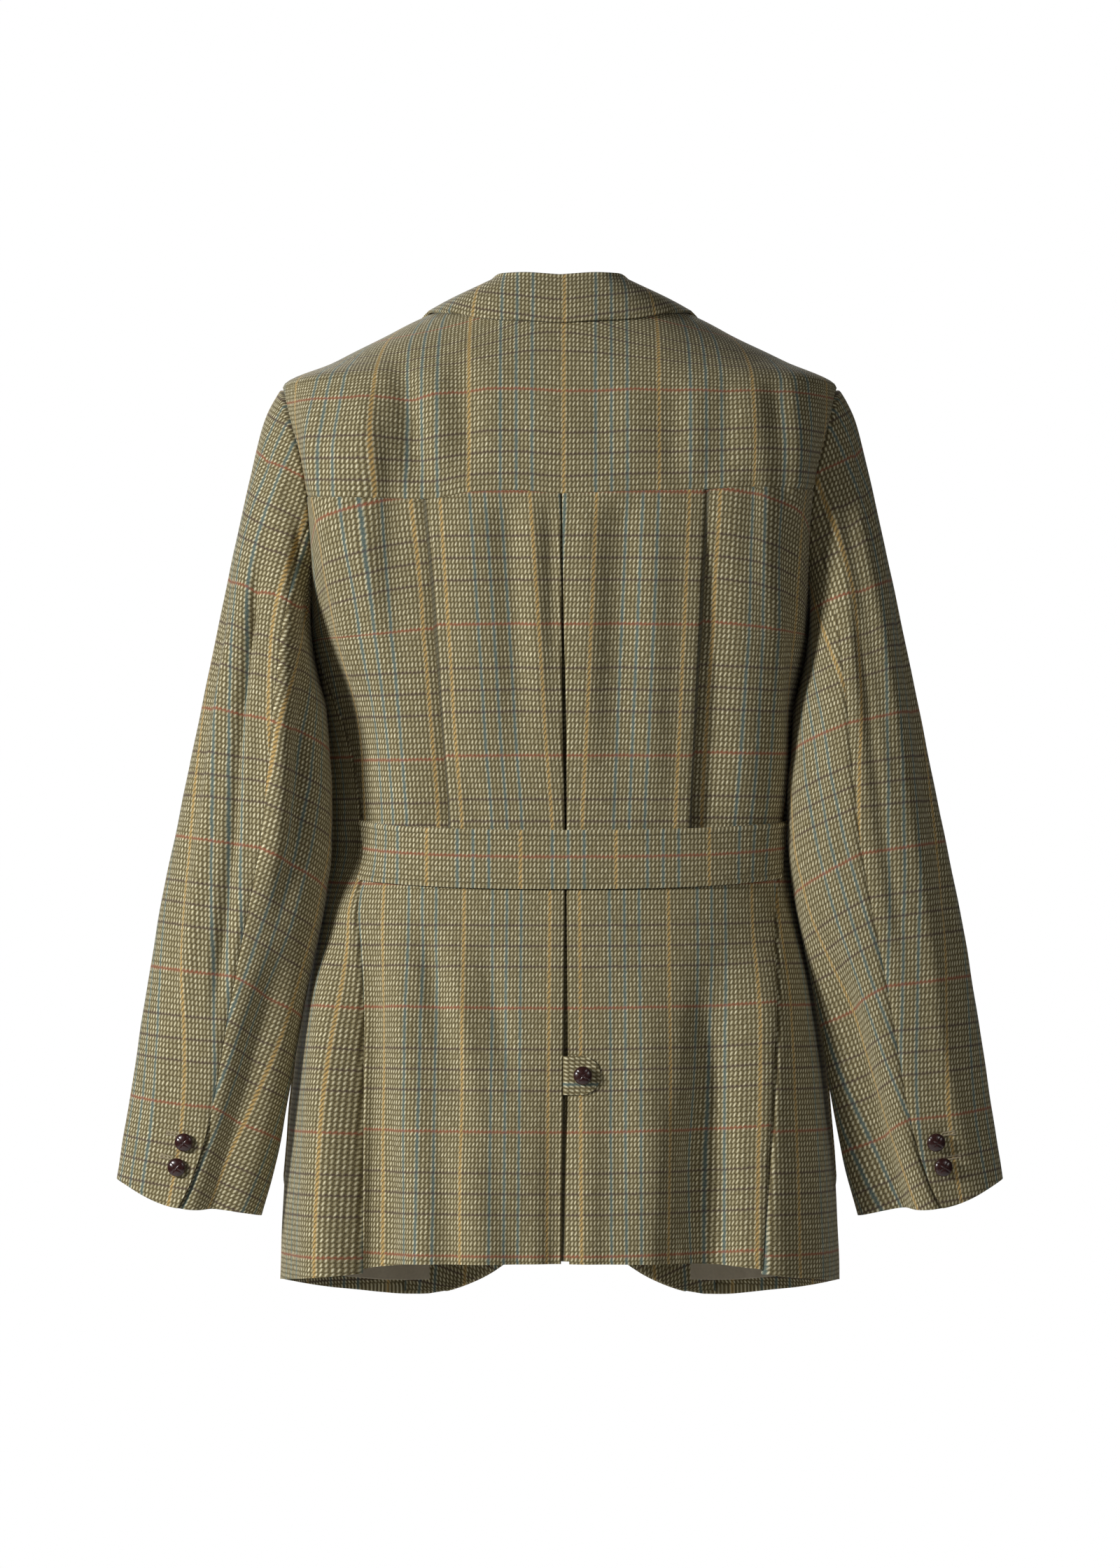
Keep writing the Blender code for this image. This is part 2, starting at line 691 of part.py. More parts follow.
def collar_point(turn, step):
    """The collar: turn from -1 to 1 round the neck, step from the stand's foot to the fall's edge."""
    side = math.copysign(1.0, turn)
    turn = abs(turn)
    fold = np.array([COLLAR("fold_" + axis, turn) for axis in "xyz"])
    foot = np.array([COLLAR("foot_" + axis, turn) for axis in "xyz"])
    edge = body_point(math.radians(COLLAR("edge_degrees", turn)), COLLAR("edge_z", turn), 0.0030)
    inward = np.array((fold[0], fold[1], 0.0))
    inward = inward / np.linalg.norm(inward)
    inner = fold - 0.0022 * inward - np.array((0.0, 0.0, 0.0030))
    outer = fold + 0.0022 * inward - np.array((0.0, 0.0, 0.0022))
    if step <= 2:
        point = mix(foot, inner, step / 2)
    elif step == 3:
        point = fold
    else:
        along = (step - 4) / 3
        bulge = 0.0020 * math.sin(math.pi * along)
        point = mix(outer, edge, along) + bulge * (inward * 0.6 + np.array((0.0, 0.0, 0.8)))
    return point * np.array((side, 1.0, 1.0))


def build_collar(collection):
    columns = np.linspace(-1, 1, 25)
    return cloth_panel("collar", collar_point, columns, range(8), collection, cloth=COLLAR_CLOTH)


def sleeve_turn(part, share, station):
    """The turn of a sleeve half's column; the cuff vent spreads its hind edge."""
    hind = HIND("degrees", station)
    radius = SLEEVE("half_depth", station)
    gap = math.degrees(0.5 * SLEEVE_SEAM_GAP / radius)
    spread = CUFF_VENT_SPREAD_DEG * 0.5 * ease((station - 11.6) / 1.4)
    if part == "top":
        return math.radians(mix(FRONT_ARM_SEAM_DEG + gap, hind - gap - spread, share))
    return math.radians(mix(hind + gap + spread, 360 + FRONT_ARM_SEAM_DEG - gap, share))


def build_sleeve(side, part, name, collection):
    """Top or under half of a sleeve; its columns fall on the armhole's even turns."""
    if part == "top":
        turns = [FRONT_ARM_SEAM_DEG] + list(np.arange(-90, 91, 22.5)) + [97]
    else:
        turns = [97] + list(np.arange(112.5, 248, 22.5)) + [360 + FRONT_ARM_SEAM_DEG]
    shares = [(turn - turns[0]) / (turns[-1] - turns[0]) for turn in turns]

    def surface(share, station):
        return sleeve_point(sleeve_turn(part, share, station), station) * np.array((side, 1.0, 1.0))

    stations = (0, 0.8, 1.5, 2.2, 3, 4, 5, 6, 7, 8.2, 9.5, 11, 12, 12.6, 13)
    return cloth_panel(name, surface, shares, stations, collection)


def build_cuff_buttons(side, name, collection):
    for order, station in (("upper", 12.02), ("lower", 12.40)):
        turn = sleeve_turn("top", 0.93, station)
        seat = sleeve_point(turn, station)
        around = sleeve_point(turn + 0.02, station) - sleeve_point(turn - 0.02, station)
        along = sleeve_point(turn, station + 0.05) - sleeve_point(turn, station - 0.05)
        outward = np.cross(around, along)
        outward = outward * math.copysign(1.0, outward[1]) / np.linalg.norm(outward)
        mirror = np.array((side, 1.0, 1.0))
        seat = (seat + outward * CLOTH / 2) * mirror
        leather_button(f"cuff_button_{order}_{name}", CUFF_BUTTON_RADIUS, seat, outward * mirror, collection)


def build_front_buttons(collection):
    for order, z in (("upper", -0.345), ("middle", -0.440), ("lower", -0.535)):
        seat = body_point(math.pi, z) + np.array((0.0, -CLOTH / 2, 0.0))
        leather_button(f"front_button_{order}", FRONT_BUTTON_RADIUS, seat, (0.0, -1.0, 0.0), collection)


def main():
    for leftover in list(bpy.data.objects):
        bpy.data.objects.remove(leftover, do_unlink=True)
    jacket = bpy.data.collections.new("hunting_jacket")
    bpy.context.scene.collection.children.link(jacket)
    build_yoke(jacket)
    build_upper_back(jacket)
    build_skirt(jacket)
    build_belt(jacket)
    build_tab(jacket)
    build_collar(jacket)
    build_front_buttons(jacket)
    for side, name in ((1, "left"), (-1, "right")):
        build_front(side, f"front_{name}", jacket)
        build_lapel(side, f"lapel_{name}", jacket)
        build_facing(side, f"facing_{name}", jacket)
        build_lining(side, f"lining_{name}", jacket)
        build_pocket(side, f"pocket_{name}", jacket)
        build_sleeve(side, "top", f"top_sleeve_{name}", jacket)
        build_sleeve(side, "under", f"under_sleeve_{name}", jacket)
        build_cuff_buttons(side, name, jacket)


main()
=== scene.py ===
"""Looks of a checked tweed hunting jacket, hollow and filled out as if worn.

Metres. +Z is up, the fronts face -Y, the wearer's left is +X.
"""
import math
from functools import partial

import bmesh
import bpy
import numpy as np
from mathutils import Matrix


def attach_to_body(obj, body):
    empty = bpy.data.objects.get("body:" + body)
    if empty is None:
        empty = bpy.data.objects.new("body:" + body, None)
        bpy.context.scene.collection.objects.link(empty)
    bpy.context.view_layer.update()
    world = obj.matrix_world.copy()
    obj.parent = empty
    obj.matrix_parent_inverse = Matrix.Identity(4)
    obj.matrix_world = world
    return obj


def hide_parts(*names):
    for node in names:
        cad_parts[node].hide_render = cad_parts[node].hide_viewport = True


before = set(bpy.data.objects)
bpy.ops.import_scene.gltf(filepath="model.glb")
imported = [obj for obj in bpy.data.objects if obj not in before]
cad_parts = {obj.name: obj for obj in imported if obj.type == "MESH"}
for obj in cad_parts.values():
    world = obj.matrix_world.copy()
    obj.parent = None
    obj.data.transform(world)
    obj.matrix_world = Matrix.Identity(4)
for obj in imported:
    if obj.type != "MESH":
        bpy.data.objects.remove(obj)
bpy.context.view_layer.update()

bl_info = {
    "name": "Hunting jacket",
    "version": (1, 0, 0),
    "blender": (4, 5, 0),
    "location": "View3D > Sidebar > Jacket",
    "description": "Sews the cloth, buttons and stitching of a tweed hunting jacket",
    "category": "Object",
}

SIDES = ((1, "left"), (-1, "right"))
SIDE_NAMES = dict(SIDES)
UP = np.array((0.0, 0.0, 1.0))
ANGLE_STEP = 0.004
HEIGHT_STEP = 0.002

SHOULDER_TIP_Z = -0.056
ARMPIT_Z = -0.255
ARMHOLE_HALF_DEPTH = 0.055
YOKE_SEAM_Z = -0.144
NECK_Z = 0.009
WAIST_Z = -0.428
FRONT_TOP_Z = 0.004
CROSSING_Z = -0.262
BACK_HEM_Z = -0.750

# The right front runs below the left one near the centre.
FRONT_TUCK = 0.0085
FRONT_TUCK_FROM_X = 0.010
FRONT_TUCK_WIDTH = 0.075
FRONT_TUCK_TOP_Z = -0.165
FRONT_TUCK_HEIGHT = 0.080

# Towards the hem both front edges swing to the wearer's right by this much.
HEM_SWING = 0.005
HEM_SWING_TOP_Z = -0.640
HEM_SWING_HEIGHT = 0.120

LAPEL_FOOT_Z = -0.324
LAPEL_TOP_Z = -0.031
LAPEL_POINT_DROP = 0.042
LAPEL_FOOT_WIDTH = 0.004
LAPEL_WIDTH = 0.080
LAPEL_PAST_EDGE = 0.0024
LAPEL_EDGE_OUT = 0.0014
LAPEL_OUT = 0.0028
LAPEL_ROLL = 0.0016

PLY_PITCH = 0.0025
PLY_BEND = PLY_PITCH / 2
SEAM_GAP = 0.0003
SHOULDER_CLOSING = 0.020
SHOULDER_CLOSED = 0.985
PLEAT_DEPTH = 0.021
PLEAT_UNDERLAP = 0.003
PLEAT_SINKS = {"left": (0.0080, 0.026), "right": (0.0040, 0.014)}
PLEAT_LIFTS = {"left": 0.0010, "right": 0.0015}
PLEAT_LIFT_REACH = 0.011
PLEAT_PRESSED = 0.45
PLEAT_PRESSED_FADE = 0.24
PLEAT_FLUSH = 0.85
UNDERLAY_LIFT = 0.002

# Rows of points near the yoke seam, by their distance from it.
SEAM_ROWS = np.array((0.0, 0.0008, 0.0018, 0.0032))
UNDER_YOKE_ROWS = np.array((-0.0016, -0.0042))
UNDER_YOKE_STEP = 0.0021
UNDER_YOKE_FROM = 0.0012
UNDER_YOKE_FADE = 0.0030
YOKE_WAVE_REACH = 0.050
BACK_WAVE_REACH = 0.060
YOKE_STITCH_INSET = 0.0050
YOKE_GROOVE = 0.00045
YOKE_GROOVE_REACH = 0.0012
STITCH_GROOVE = 0.0005
STITCH_GROOVE_REACH = 0.0013
STITCH_OUT = 0.0008
SOFT_EDGE_SHARE = 0.42

SLEEVE_SEAM_GAP = 0.0007
SLEEVE_CLEARANCE = 0.0012
ARMPIT_CLEARANCE = 0.0002
HEAD_TUCK = 0.0024
HEAD_SINK = 0.0010
HEAD_TUCK_STATIONS = 0.07
HEAD_STATIONS = np.array((0, 0.02, 0.05, 0.09, 0.14, 0.2, 0.27))
SLEEVE_HANG_DEG = 13.0
HANG_STATION = 4.0
HANG_FADE = 4.0
HEAD_GRAIN_STATION = 3.0
HEAD_GRAIN_FADE = 3.0
HIND_DEG = 96.0
HIND_LAP = 0.0011
HIND_LAP_DEG = 2.0
HIND_LAP_END_DEG = 4.0
HIND_LAP_FADE_DEG = 6.0
CUFF_VENT_STATION = 11.2
CUFF_VENT_FADE = 0.7
CUFF_OPEN_STATION = 11.4
CUFF_OPEN_FADE = 0.6
CUFF_VENT_OVERLAP_DEG = 11.0
CUFF_VENT_LAP = 0.0034
CUFF_VENT_EDGE_LIFT = 0.0022
CUFF_VENT_EDGE_DEG = 10.0
CUFF_DROP = 0.010
CUFF_DROP_STATION = 12.0
CUFF_DROP_AT_DEG = 75.0
CUFF_DROP_REACH_DEG = 40.0

BELT_TOP_Z = -0.402
BELT_BOTTOM_Z = -0.448
BELT_SAG = 0.0075
BELT_OUT = 0.0029
BELT_SWELL = 0.0008
BELT_SWELL_INSET = 0.0022
BELT_SWELL_REACH = 0.0018
BELT_EDGE_DIP = 0.0006
BELT_EDGE_REACH = 0.0010
BELT_STITCH_OUT = 0.0012

# Behind the belt the back has no creases; in millimetres, as the creases are.
BELT_CALM_AT = -429.0
BELT_CALM_HALF = 24.0
BELT_CALM_FADE = 14.0

TAB_TOP_Z = -0.587
TAB_BOTTOM_Z = -0.617
TAB_END_X = -0.031
TAB_ROUND_FROM = 0.50
TAB_ROUNDNESS = 2.1
TAB_INSET = 0.0007
TAB_SEWN_OUT = 0.0006
TAB_OUT = 0.0017
TAB_STITCH_LEVEL = 0.80
TAB_STITCH_OUT = 0.0011
VENT_BUTTON_SHARE = 0.54

CUFF_BUTTON_RADIUS = 0.0074
FRONT_BUTTON_RADIUS = 0.0095
BUTTON_HALF_THICKNESS = 0.0036
LEATHER_STRIP = 0.0078
LEATHER_CROWN = 0.00042
CUFF_BUTTON_SHARE = 0.93
CUFF_BUTTON_STATIONS = (("upper", 12.02), ("lower", 12.40))
FRONT_BUTTON_HEIGHTS = (("upper", -0.345), ("middle", -0.440), ("lower", -0.535))
BUTTONHOLE_SHARES = (0.895, 0.850)
BUTTONHOLE_STATIONS_UP = 0.10
BUTTONHOLE_OUT = 0.0009

# A buttonhole is a bar of short stitches, the last few of them wider.
BAR_STITCHES = 15
BAR_WIDE_STITCHES = 3
BAR_HALF_WIDTH = 0.0011
BAR_PITCH = 0.0011
BAR_STITCH_LENGTH = 0.0016
BAR_STITCH_THICKNESS = 0.0006

POCKET_TOP_Z = -0.535
POCKET_BOTTOM_Z = -0.708
POCKET_BACK_DEG = 96.0
POCKET_FRONT_X = 0.078
POCKET_CORNER = 0.030
POCKET_WIDTH = 0.150
POCKET_OUT = 0.0032
POCKET_BELLY = 0.0015
POCKET_EDGE_ROLL = 0.0009
POCKET_ROLL_REACH = 0.0016
POCKET_GRAIN_ACROSS = 0.004
POCKET_GRAIN_DOWN = 0.011

COLLAR_OUT = 0.0030
COLLAR_BEND = 0.0022
COLLAR_BULGE = 0.0020
COLLAR_FOLD_COLUMN = 13

FACING_HEM_X = 0.128
FACING_TOP_X = 0.100
FACING_TOP_Z = -0.344
FACING_HEM_Z = -0.7865
FACING_IN = 0.0038
FACING_EDGE_IN = 0.0022
FACING_INSET = 0.0008
LINING_FRONT_X = 0.108
LINING_FRONT_Z = -0.770
LINING_SIDE_DEG = 100.0
LINING_TOP_Z = -0.560
LINING_LIFT = 0.012
LINING_IN = 0.0064
LINING_RIPPLE = 0.0006

# The camera sees this width at this distance.
VIEW_WIDTH = 1.232
VIEW_DISTANCE = 6.0
CAMERA_SENSOR = 36.0
CAMERA_PLACE = (0.0, 6.115, -0.373)
LIGHT_AIM = (0.0, 0.0, -0.40)
LIGHT_COLUMNS = ("name", "place", "size", "share_of_key")
LIGHTS = (
    ("key", (2.30, 1.75, 0.30), 0.6, 1.0),
    ("fill", (-2.4, 3.0, 0.8), 1.4, 0.26),
    ("front", (0.6, -3.0, 1.4), 2.4, 1.1),
)
FLOOR_RADIUS = 1.4
FLOOR_Z = -1.5
FLOOR_SIDES = 64

# The check repeats after 24 marks each way.
CHECK_MARKS = 24
CHECK_WIDTH = 0.0750
CHECK_HEIGHT = 0.1040

BODY_COLUMNS = ("height", "half_width", "back_depth", "front_depth", "squareness")
BODY_SECTIONS = (
    (-0.800, 0.2235, 0.124, 0.131, 2.35),
    (-0.745, 0.2225, 0.123, 0.131, 2.35),
    (-0.640, 0.2160, 0.119, 0.131, 2.35),
    (-0.540, 0.2040, 0.113, 0.130, 2.35),
    (-0.470, 0.1920, 0.107, 0.128, 2.40),
    (-0.410, 0.1840, 0.103, 0.126, 2.40),
    (-0.340, 0.1860, 0.107, 0.128, 2.45),
    (-0.255, 0.1990, 0.117, 0.132, 2.50),
    (-0.180, 0.2085, 0.121, 0.125, 2.55),
    (-0.120, 0.2160, 0.116, 0.108, 2.55),
    (-0.075, 0.2215, 0.106, 0.088, 2.50),
    (-0.056, 0.2210, 0.100, 0.078, 2.45),
    (-0.036, 0.1800, 0.092, 0.066, 2.40),
    (-0.016, 0.1395, 0.081, 0.052, 2.30),
    (0.003, 0.1015, 0.069, 0.039, 2.20),
    (0.010, 0.0810, 0.062, 0.032, 2.15),
    (0.018, 0.0600, 0.054, 0.024, 2.10),
)

HEM_COLUMNS = ("degrees", "height")
HEM_LINE = (
    (0, -0.7500),
    (25, -0.7505),
    (38, -0.7540),
    (55, -0.7625),
    (90, -0.7700),
    (125, -0.7830),
    (150, -0.7890),
    (180, -0.7890),
)

SIDE_SEAM_DEPTH = 0.0024
SIDE_SEAM_REACH = 0.0013
SIDE_SEAM_COLUMNS = ("height", "left", "right")
SIDE_SEAM = (
    (-0.780, 0.1600, 0.1560),
    (-0.600, 0.1605, 0.1630),
    (-0.430, 0.1625, 0.1730),
    (-0.380, 0.1700, 0.1770),
    (-0.330, 0.1795, 0.1835),
    (-0.290, 0.1890, 0.1905),
    (-0.255, 0.1990, 0.1990),
)

PLEAT_COLUMNS = ("height", "left_edge", "right_edge", "centre_line", "half_opening")
BACK_PLEATS = (
    (-0.800, 0.0850, 0.1010, -0.0040, 0.0044),
    (-0.700, 0.0850, 0.1010, -0.0040, 0.0034),
    (-0.560, 0.0850, 0.1010, -0.0045, 0.0023),
    (-0.428, 0.0850, 0.1010, -0.0045, 0.0014),
    (-0.330, 0.0910, 0.1045, -0.0035, 0.0022),
    (-0.240, 0.0965, 0.1085, -0.0020, 0.0016),
    (-0.144, 0.1030, 0.1125, -0.0010, 0.0013),
)

SIDE_PANEL_COLUMNS = ("share", "ply")
SIDE_PANEL = (
    (0.00, 2.0),
    (0.14, 1.3),
    (0.32, 0.3),
    (0.54, 0.0),
    (1.00, 0.0),
)

FRONT_EDGE_COLUMNS = ("height", "past_centre")
FRONT_EDGE = (
    (-0.789, -0.1120),
    (-0.787, -0.0980),
    (-0.780, -0.0760),
    (-0.768, -0.0540),
    (-0.745, -0.0280),
    (-0.710, -0.0040),
    (-0.660, 0.0130),
    (-0.600, 0.0200),
    (-0.330, 0.0200),
    (-0.315, 0.0157),
    (-0.150, -0.0322),
    (0.015, -0.0800),
)

SLEEVE_COLUMNS = ("station", "outer_x", "outer_z", "inner_x", "inner_z", "centre_y", "half_depth")
SLEEVE_SECTIONS = (
    (0, 0.2210, -0.0560, 0.1990, -0.2550, 0.0000, 0.0550),
    (1, 0.2335, -0.0790, 0.1965, -0.2650, 0.0020, 0.0560),
    (2, 0.2460, -0.1270, 0.1940, -0.2790, 0.0090, 0.0570),
    (3, 0.2577, -0.1800, 0.1905, -0.2960, 0.0195, 0.0575),
    (4, 0.2675, -0.2275, 0.1865, -0.3145, 0.0295, 0.0570),
    (5, 0.2810, -0.2950, 0.1840, -0.3500, 0.0400, 0.0555),
    (6, 0.2910, -0.3445, 0.1815, -0.3820, 0.0450, 0.0535),
    (7, 0.3010, -0.3950, 0.1815, -0.4200, 0.0465, 0.0515),
    (8, 0.3117, -0.4450, 0.1870, -0.4660, 0.0460, 0.0490),
    (9, 0.3212, -0.4960, 0.1970, -0.5160, 0.0450, 0.0455),
    (10, 0.3296, -0.5460, 0.2070, -0.5660, 0.0430, 0.0420),
    (11, 0.3376, -0.5970, 0.2155, -0.6170, 0.0390, 0.0385),
    (12, 0.3459, -0.6470, 0.2250, -0.6670, 0.0330, 0.0350),
    (13, 0.3525, -0.6870, 0.2380, -0.7165, 0.0280, 0.0325),
)
SLEEVE_BLEND_STATION = 4.0
GRAIN_COLUMNS = ("station", "top_columns", "top_rows", "under_columns", "under_rows")
GRAIN_LEAN = (
    (0, 6, 10, 3, 11),
    (2, 4, 10, 5, 11),
    (4, -8, 3, 7, 9),
    (8, -9, -3, 6, 18),
    (10.5, -7, -5, 12, 20),
    (12, 0, -5, 14, 18),
    (13, 2, -5, 16, 17),
)
SLEEVE_HEAD_RADIUS = 0.053
UPPER_ARM_FROM = 0.31
UPPER_ARM_EASE = 0.055
FRONT_ARM_SEAM_DEG = -105.0
# One station is about this long, and one degree round the arm about 1 mm.
STATION_MM = 50.0

HIND_SEAM_COLUMNS = ("station", "degrees")
HIND_SEAM = (
    (0, 97),
    (5, 96),
    (8, 96),
    (11, 95.5),
    (12, 93.5),
    (12.6, 89),
    (13, 83),
)

COLLAR_COLUMNS = (
    "turn", "fold_x", "fold_y", "fold_z", "foot_x", "foot_y", "foot_z", "edge_degrees", "edge_z",
)
COLLAR_SECTIONS = (
    (0.00, 0.0000, 0.0560, 0.0305, 0.0000, 0.0602, 0.0085, 0, -0.0095),
    (0.20, 0.0300, 0.0525, 0.0325, 0.0360, 0.0551, 0.0085, 26, -0.0060),
    (0.33, 0.0460, 0.0400, 0.0325, 0.0560, 0.0455, 0.0088, 46, -0.0015),
    (0.50, 0.0570, 0.0080, 0.0250, 0.0795, 0.0110, 0.0090, 88, 0.0020),
    (0.75, 0.0660, -0.0235, 0.0130, 0.0720, -0.0230, 0.0045, 128, -0.0170),
    (1.00, 0.0655, -0.0585, -0.0245, 0.0645, -0.0575, -0.0310, 147, -0.0490),
)

YOKE_WAVE_COLUMNS = ("x", "rise")
YOKE_WAVE = (
    (-0.210, 0.0040),
    (-0.155, 0.0045),
    (-0.110, 0.0025),
    (-0.057, 0.0010),
    (0.000, -0.0010),
    (0.035, 0.0015),
    (0.066, 0.0005),
    (0.104, -0.0050),
    (0.138, -0.0050),
    (0.200, -0.0010),
)

BODY_FOLD_COLUMNS = ("x_top", "x_hem", "z_top", "z_full", "half_width", "depth", "z_end")
BODY_FOLDS = (
    (0.128, 0.132, -0.540, -0.740, 0.030, -0.0075, -0.900),
    (-0.112, -0.121, -0.480, -0.740, 0.027, -0.0085, -0.900),
    (0.050, 0.055, -0.520, -0.740, 0.040, 0.0035, -0.900),
    (-0.062, -0.066, -0.520, -0.740, 0.036, 0.0035, -0.900),
    (0.128, 0.132, -0.060, -0.140, 0.020, -0.0035, -0.380),
    (-0.150, -0.150, -0.060, -0.140, 0.018, -0.0035, -0.380),
)

RIPPLE_COLUMNS = ("per_x", "per_z", "start", "strength")
RIPPLES = (
    (61, 23, 0.6, 1.0),
    (-37, 71, 2.1, 1.0),
    (128, -57, 4.0, 0.6),
    (90, 141, 1.2, 0.5),
)
RIPPLE_HEIGHT = 0.00016

# Lengths in millimetres; bend is how far a crease bows at its middle, fades are its soft ends.
CREASE_COLUMNS = (
    "x_from", "z_from", "x_to", "z_to", "half_width", "depth", "bend", "fade_from", "fade_to",
)
BACK_SWELLS = (
    (174, -30, 176, -330, 74, 34.0, 0, 90, 200),
    (176, -250, 172, -480, 54, -20.0, 0, 110, 60),
    (-174, -30, -176, -480, 68, 17.0, 0, 90, 120),
    (186, -430, 194, -920, 62, 12.0, 0, 120, 120),
    (-190, -430, -200, -920, 64, 14.0, 0, 120, 120),
)
BACK_CREASES = (
    (128, -24, 112, -150, 15, -9.5, 2, 40, 35),
    (152, -50, 143, -150, 13, 4.5, 0, 30, 40),
    (176, -60, 172, -170, 12, -5.0, 0, 30, 50),
    (80, -24, 72, -140, 15, -7.0, 1, 36, 40),
    (101, -36, 96, -140, 10, 3.6, 0, 40, 40),
    (-168, -40, -172, -250, 15, -6.5, 0, 40, 60),
    (-147, -55, -146, -150, 13, 2.0, 0, 40, 40),
    (-31, -38, -33, -140, 13, -3.2, 0, 40, 50),
    (-57, -40, -58, -140, 14, 2.4, 0, 40, 50),
    (-88, -38, -90, -150, 13, -3.4, 0, 40, 40),
    (-133, -38, -128, -150, 12, -3.0, 0, 40, 40),
    (-108, -45, -106, -150, 11, 3.0, 0, 40, 40),
    (12, -45, 13, -140, 14, 2.0, 0, 40, 40),
    (38, -42, 38, -135, 13, -2.4, 0, 40, 50),
    (176, -150, 140, -330, 15, -4.0, 3, 60, 90),
    (153, -160, 132, -400, 17, 3.0, 0, 40, 120),
    (186, -130, 176, -440, 18, -9.0, 0, 60, 120),
    (43, -142, 31, -400, 19, -5.4, 3, 24, 120),
    (23, -142, 12, -370, 15, 4.4, -2, 24, 130),
    (7, -150, 4, -300, 9, -3.0, 0, 30, 90),
    (72, -146, 66, -430, 26, 3.0, 0, 25, 120),
    (-20, -142, -17, -420, 19, 3.6, 2, 30, 130),
    (-51, -142, -47, -400, 20, -5.2, -3, 24, 120),
    (-76, -160, -72, -430, 17, 3.0, 0, 40, 110),
    (-143, -180, -140, -430, 22, 3.6, 0, 60, 90),
    (-182, -130, -176, -360, 16, -9.0, 0, 50, 100),
    (76, -350, 62, -440, 13, -3.6, 4, 70, 6),
    (40, -376, 34, -440, 12, -3.4, 0, 50, 6),
    (-44, -366, -50, -440, 13, -4.0, 0, 60, 6),
    (176, -490, 184, -900, 28, 12.0, 0, 120, 30),
    (158, -452, 150, -900, 30, -22.0, 2, 110, 30),
    (130, -462, 98, -900, 24, 10.0, 0, 110, 30),
    (111, -470, 66, -700, 17, -8.5, 3, 60, 110),
    (86, -470, 47, -900, 23, 8.0, -3, 90, 60),
    (60, -480, 36, -640, 13, -5.0, 0, 60, 80),
    (40, -700, 24, -880, 14, -5.0, 3, 80, 50),
    (5, -560, 3, -900, 16, -9.0, 0, 160, 20),
    (2, -700, 4, -900, 12, -8.0, 0, 120, 20),
    (-24, -560, -22, -900, 15, 4.0, 0, 110, 30),
    (-64, -730, -52, -900, 12, -5.4, 3, 60, 30),
    (-66, -500, -72, -740, 26, 5.4, 0, 110, 90),
    (-116, -490, -122, -900, 25, -15.0, 0, 120, 30),
    (-108, -590, -80, -900, 25, -11.0, 0, 100, 30),
    (-156, -480, -168, -900, 30, 11.0, 0, 90, 30),
)
FRONT_CREASES = (
    (30, -360, 120, -300, 14, -3.3, 6, 50, 50),
    (34, -400, 140, -380, 12, -2.7, -5, 50, 50),
    (40, -450, 130, -500, 15, -2.4, 5, 50, 50),
    (95, -130, 150, -330, 18, -3.6, 8, 50, 50),
    (150, -470, 158, -800, 16, -3.9, 5, 50, 50),
    (104, -520, 92, -800, 18, 2.7, 0, 50, 50),
    (60, -560, 70, -800, 16, -2.7, 4, 50, 50),
    (185, -420, 200, -760, 14, -3.0, 0, 50, 50),
)

SLEEVE_FOLD_COLUMNS = (
    "degrees_from", "degrees_to", "station_from", "station_to", "half_degrees", "depth",
)
SLEEVE_FOLDS = (
    (60, 70, 1.0, 6.0, 20, -0.0045),
    (125, 118, 3.0, 8.5, 20, -0.0040),
)

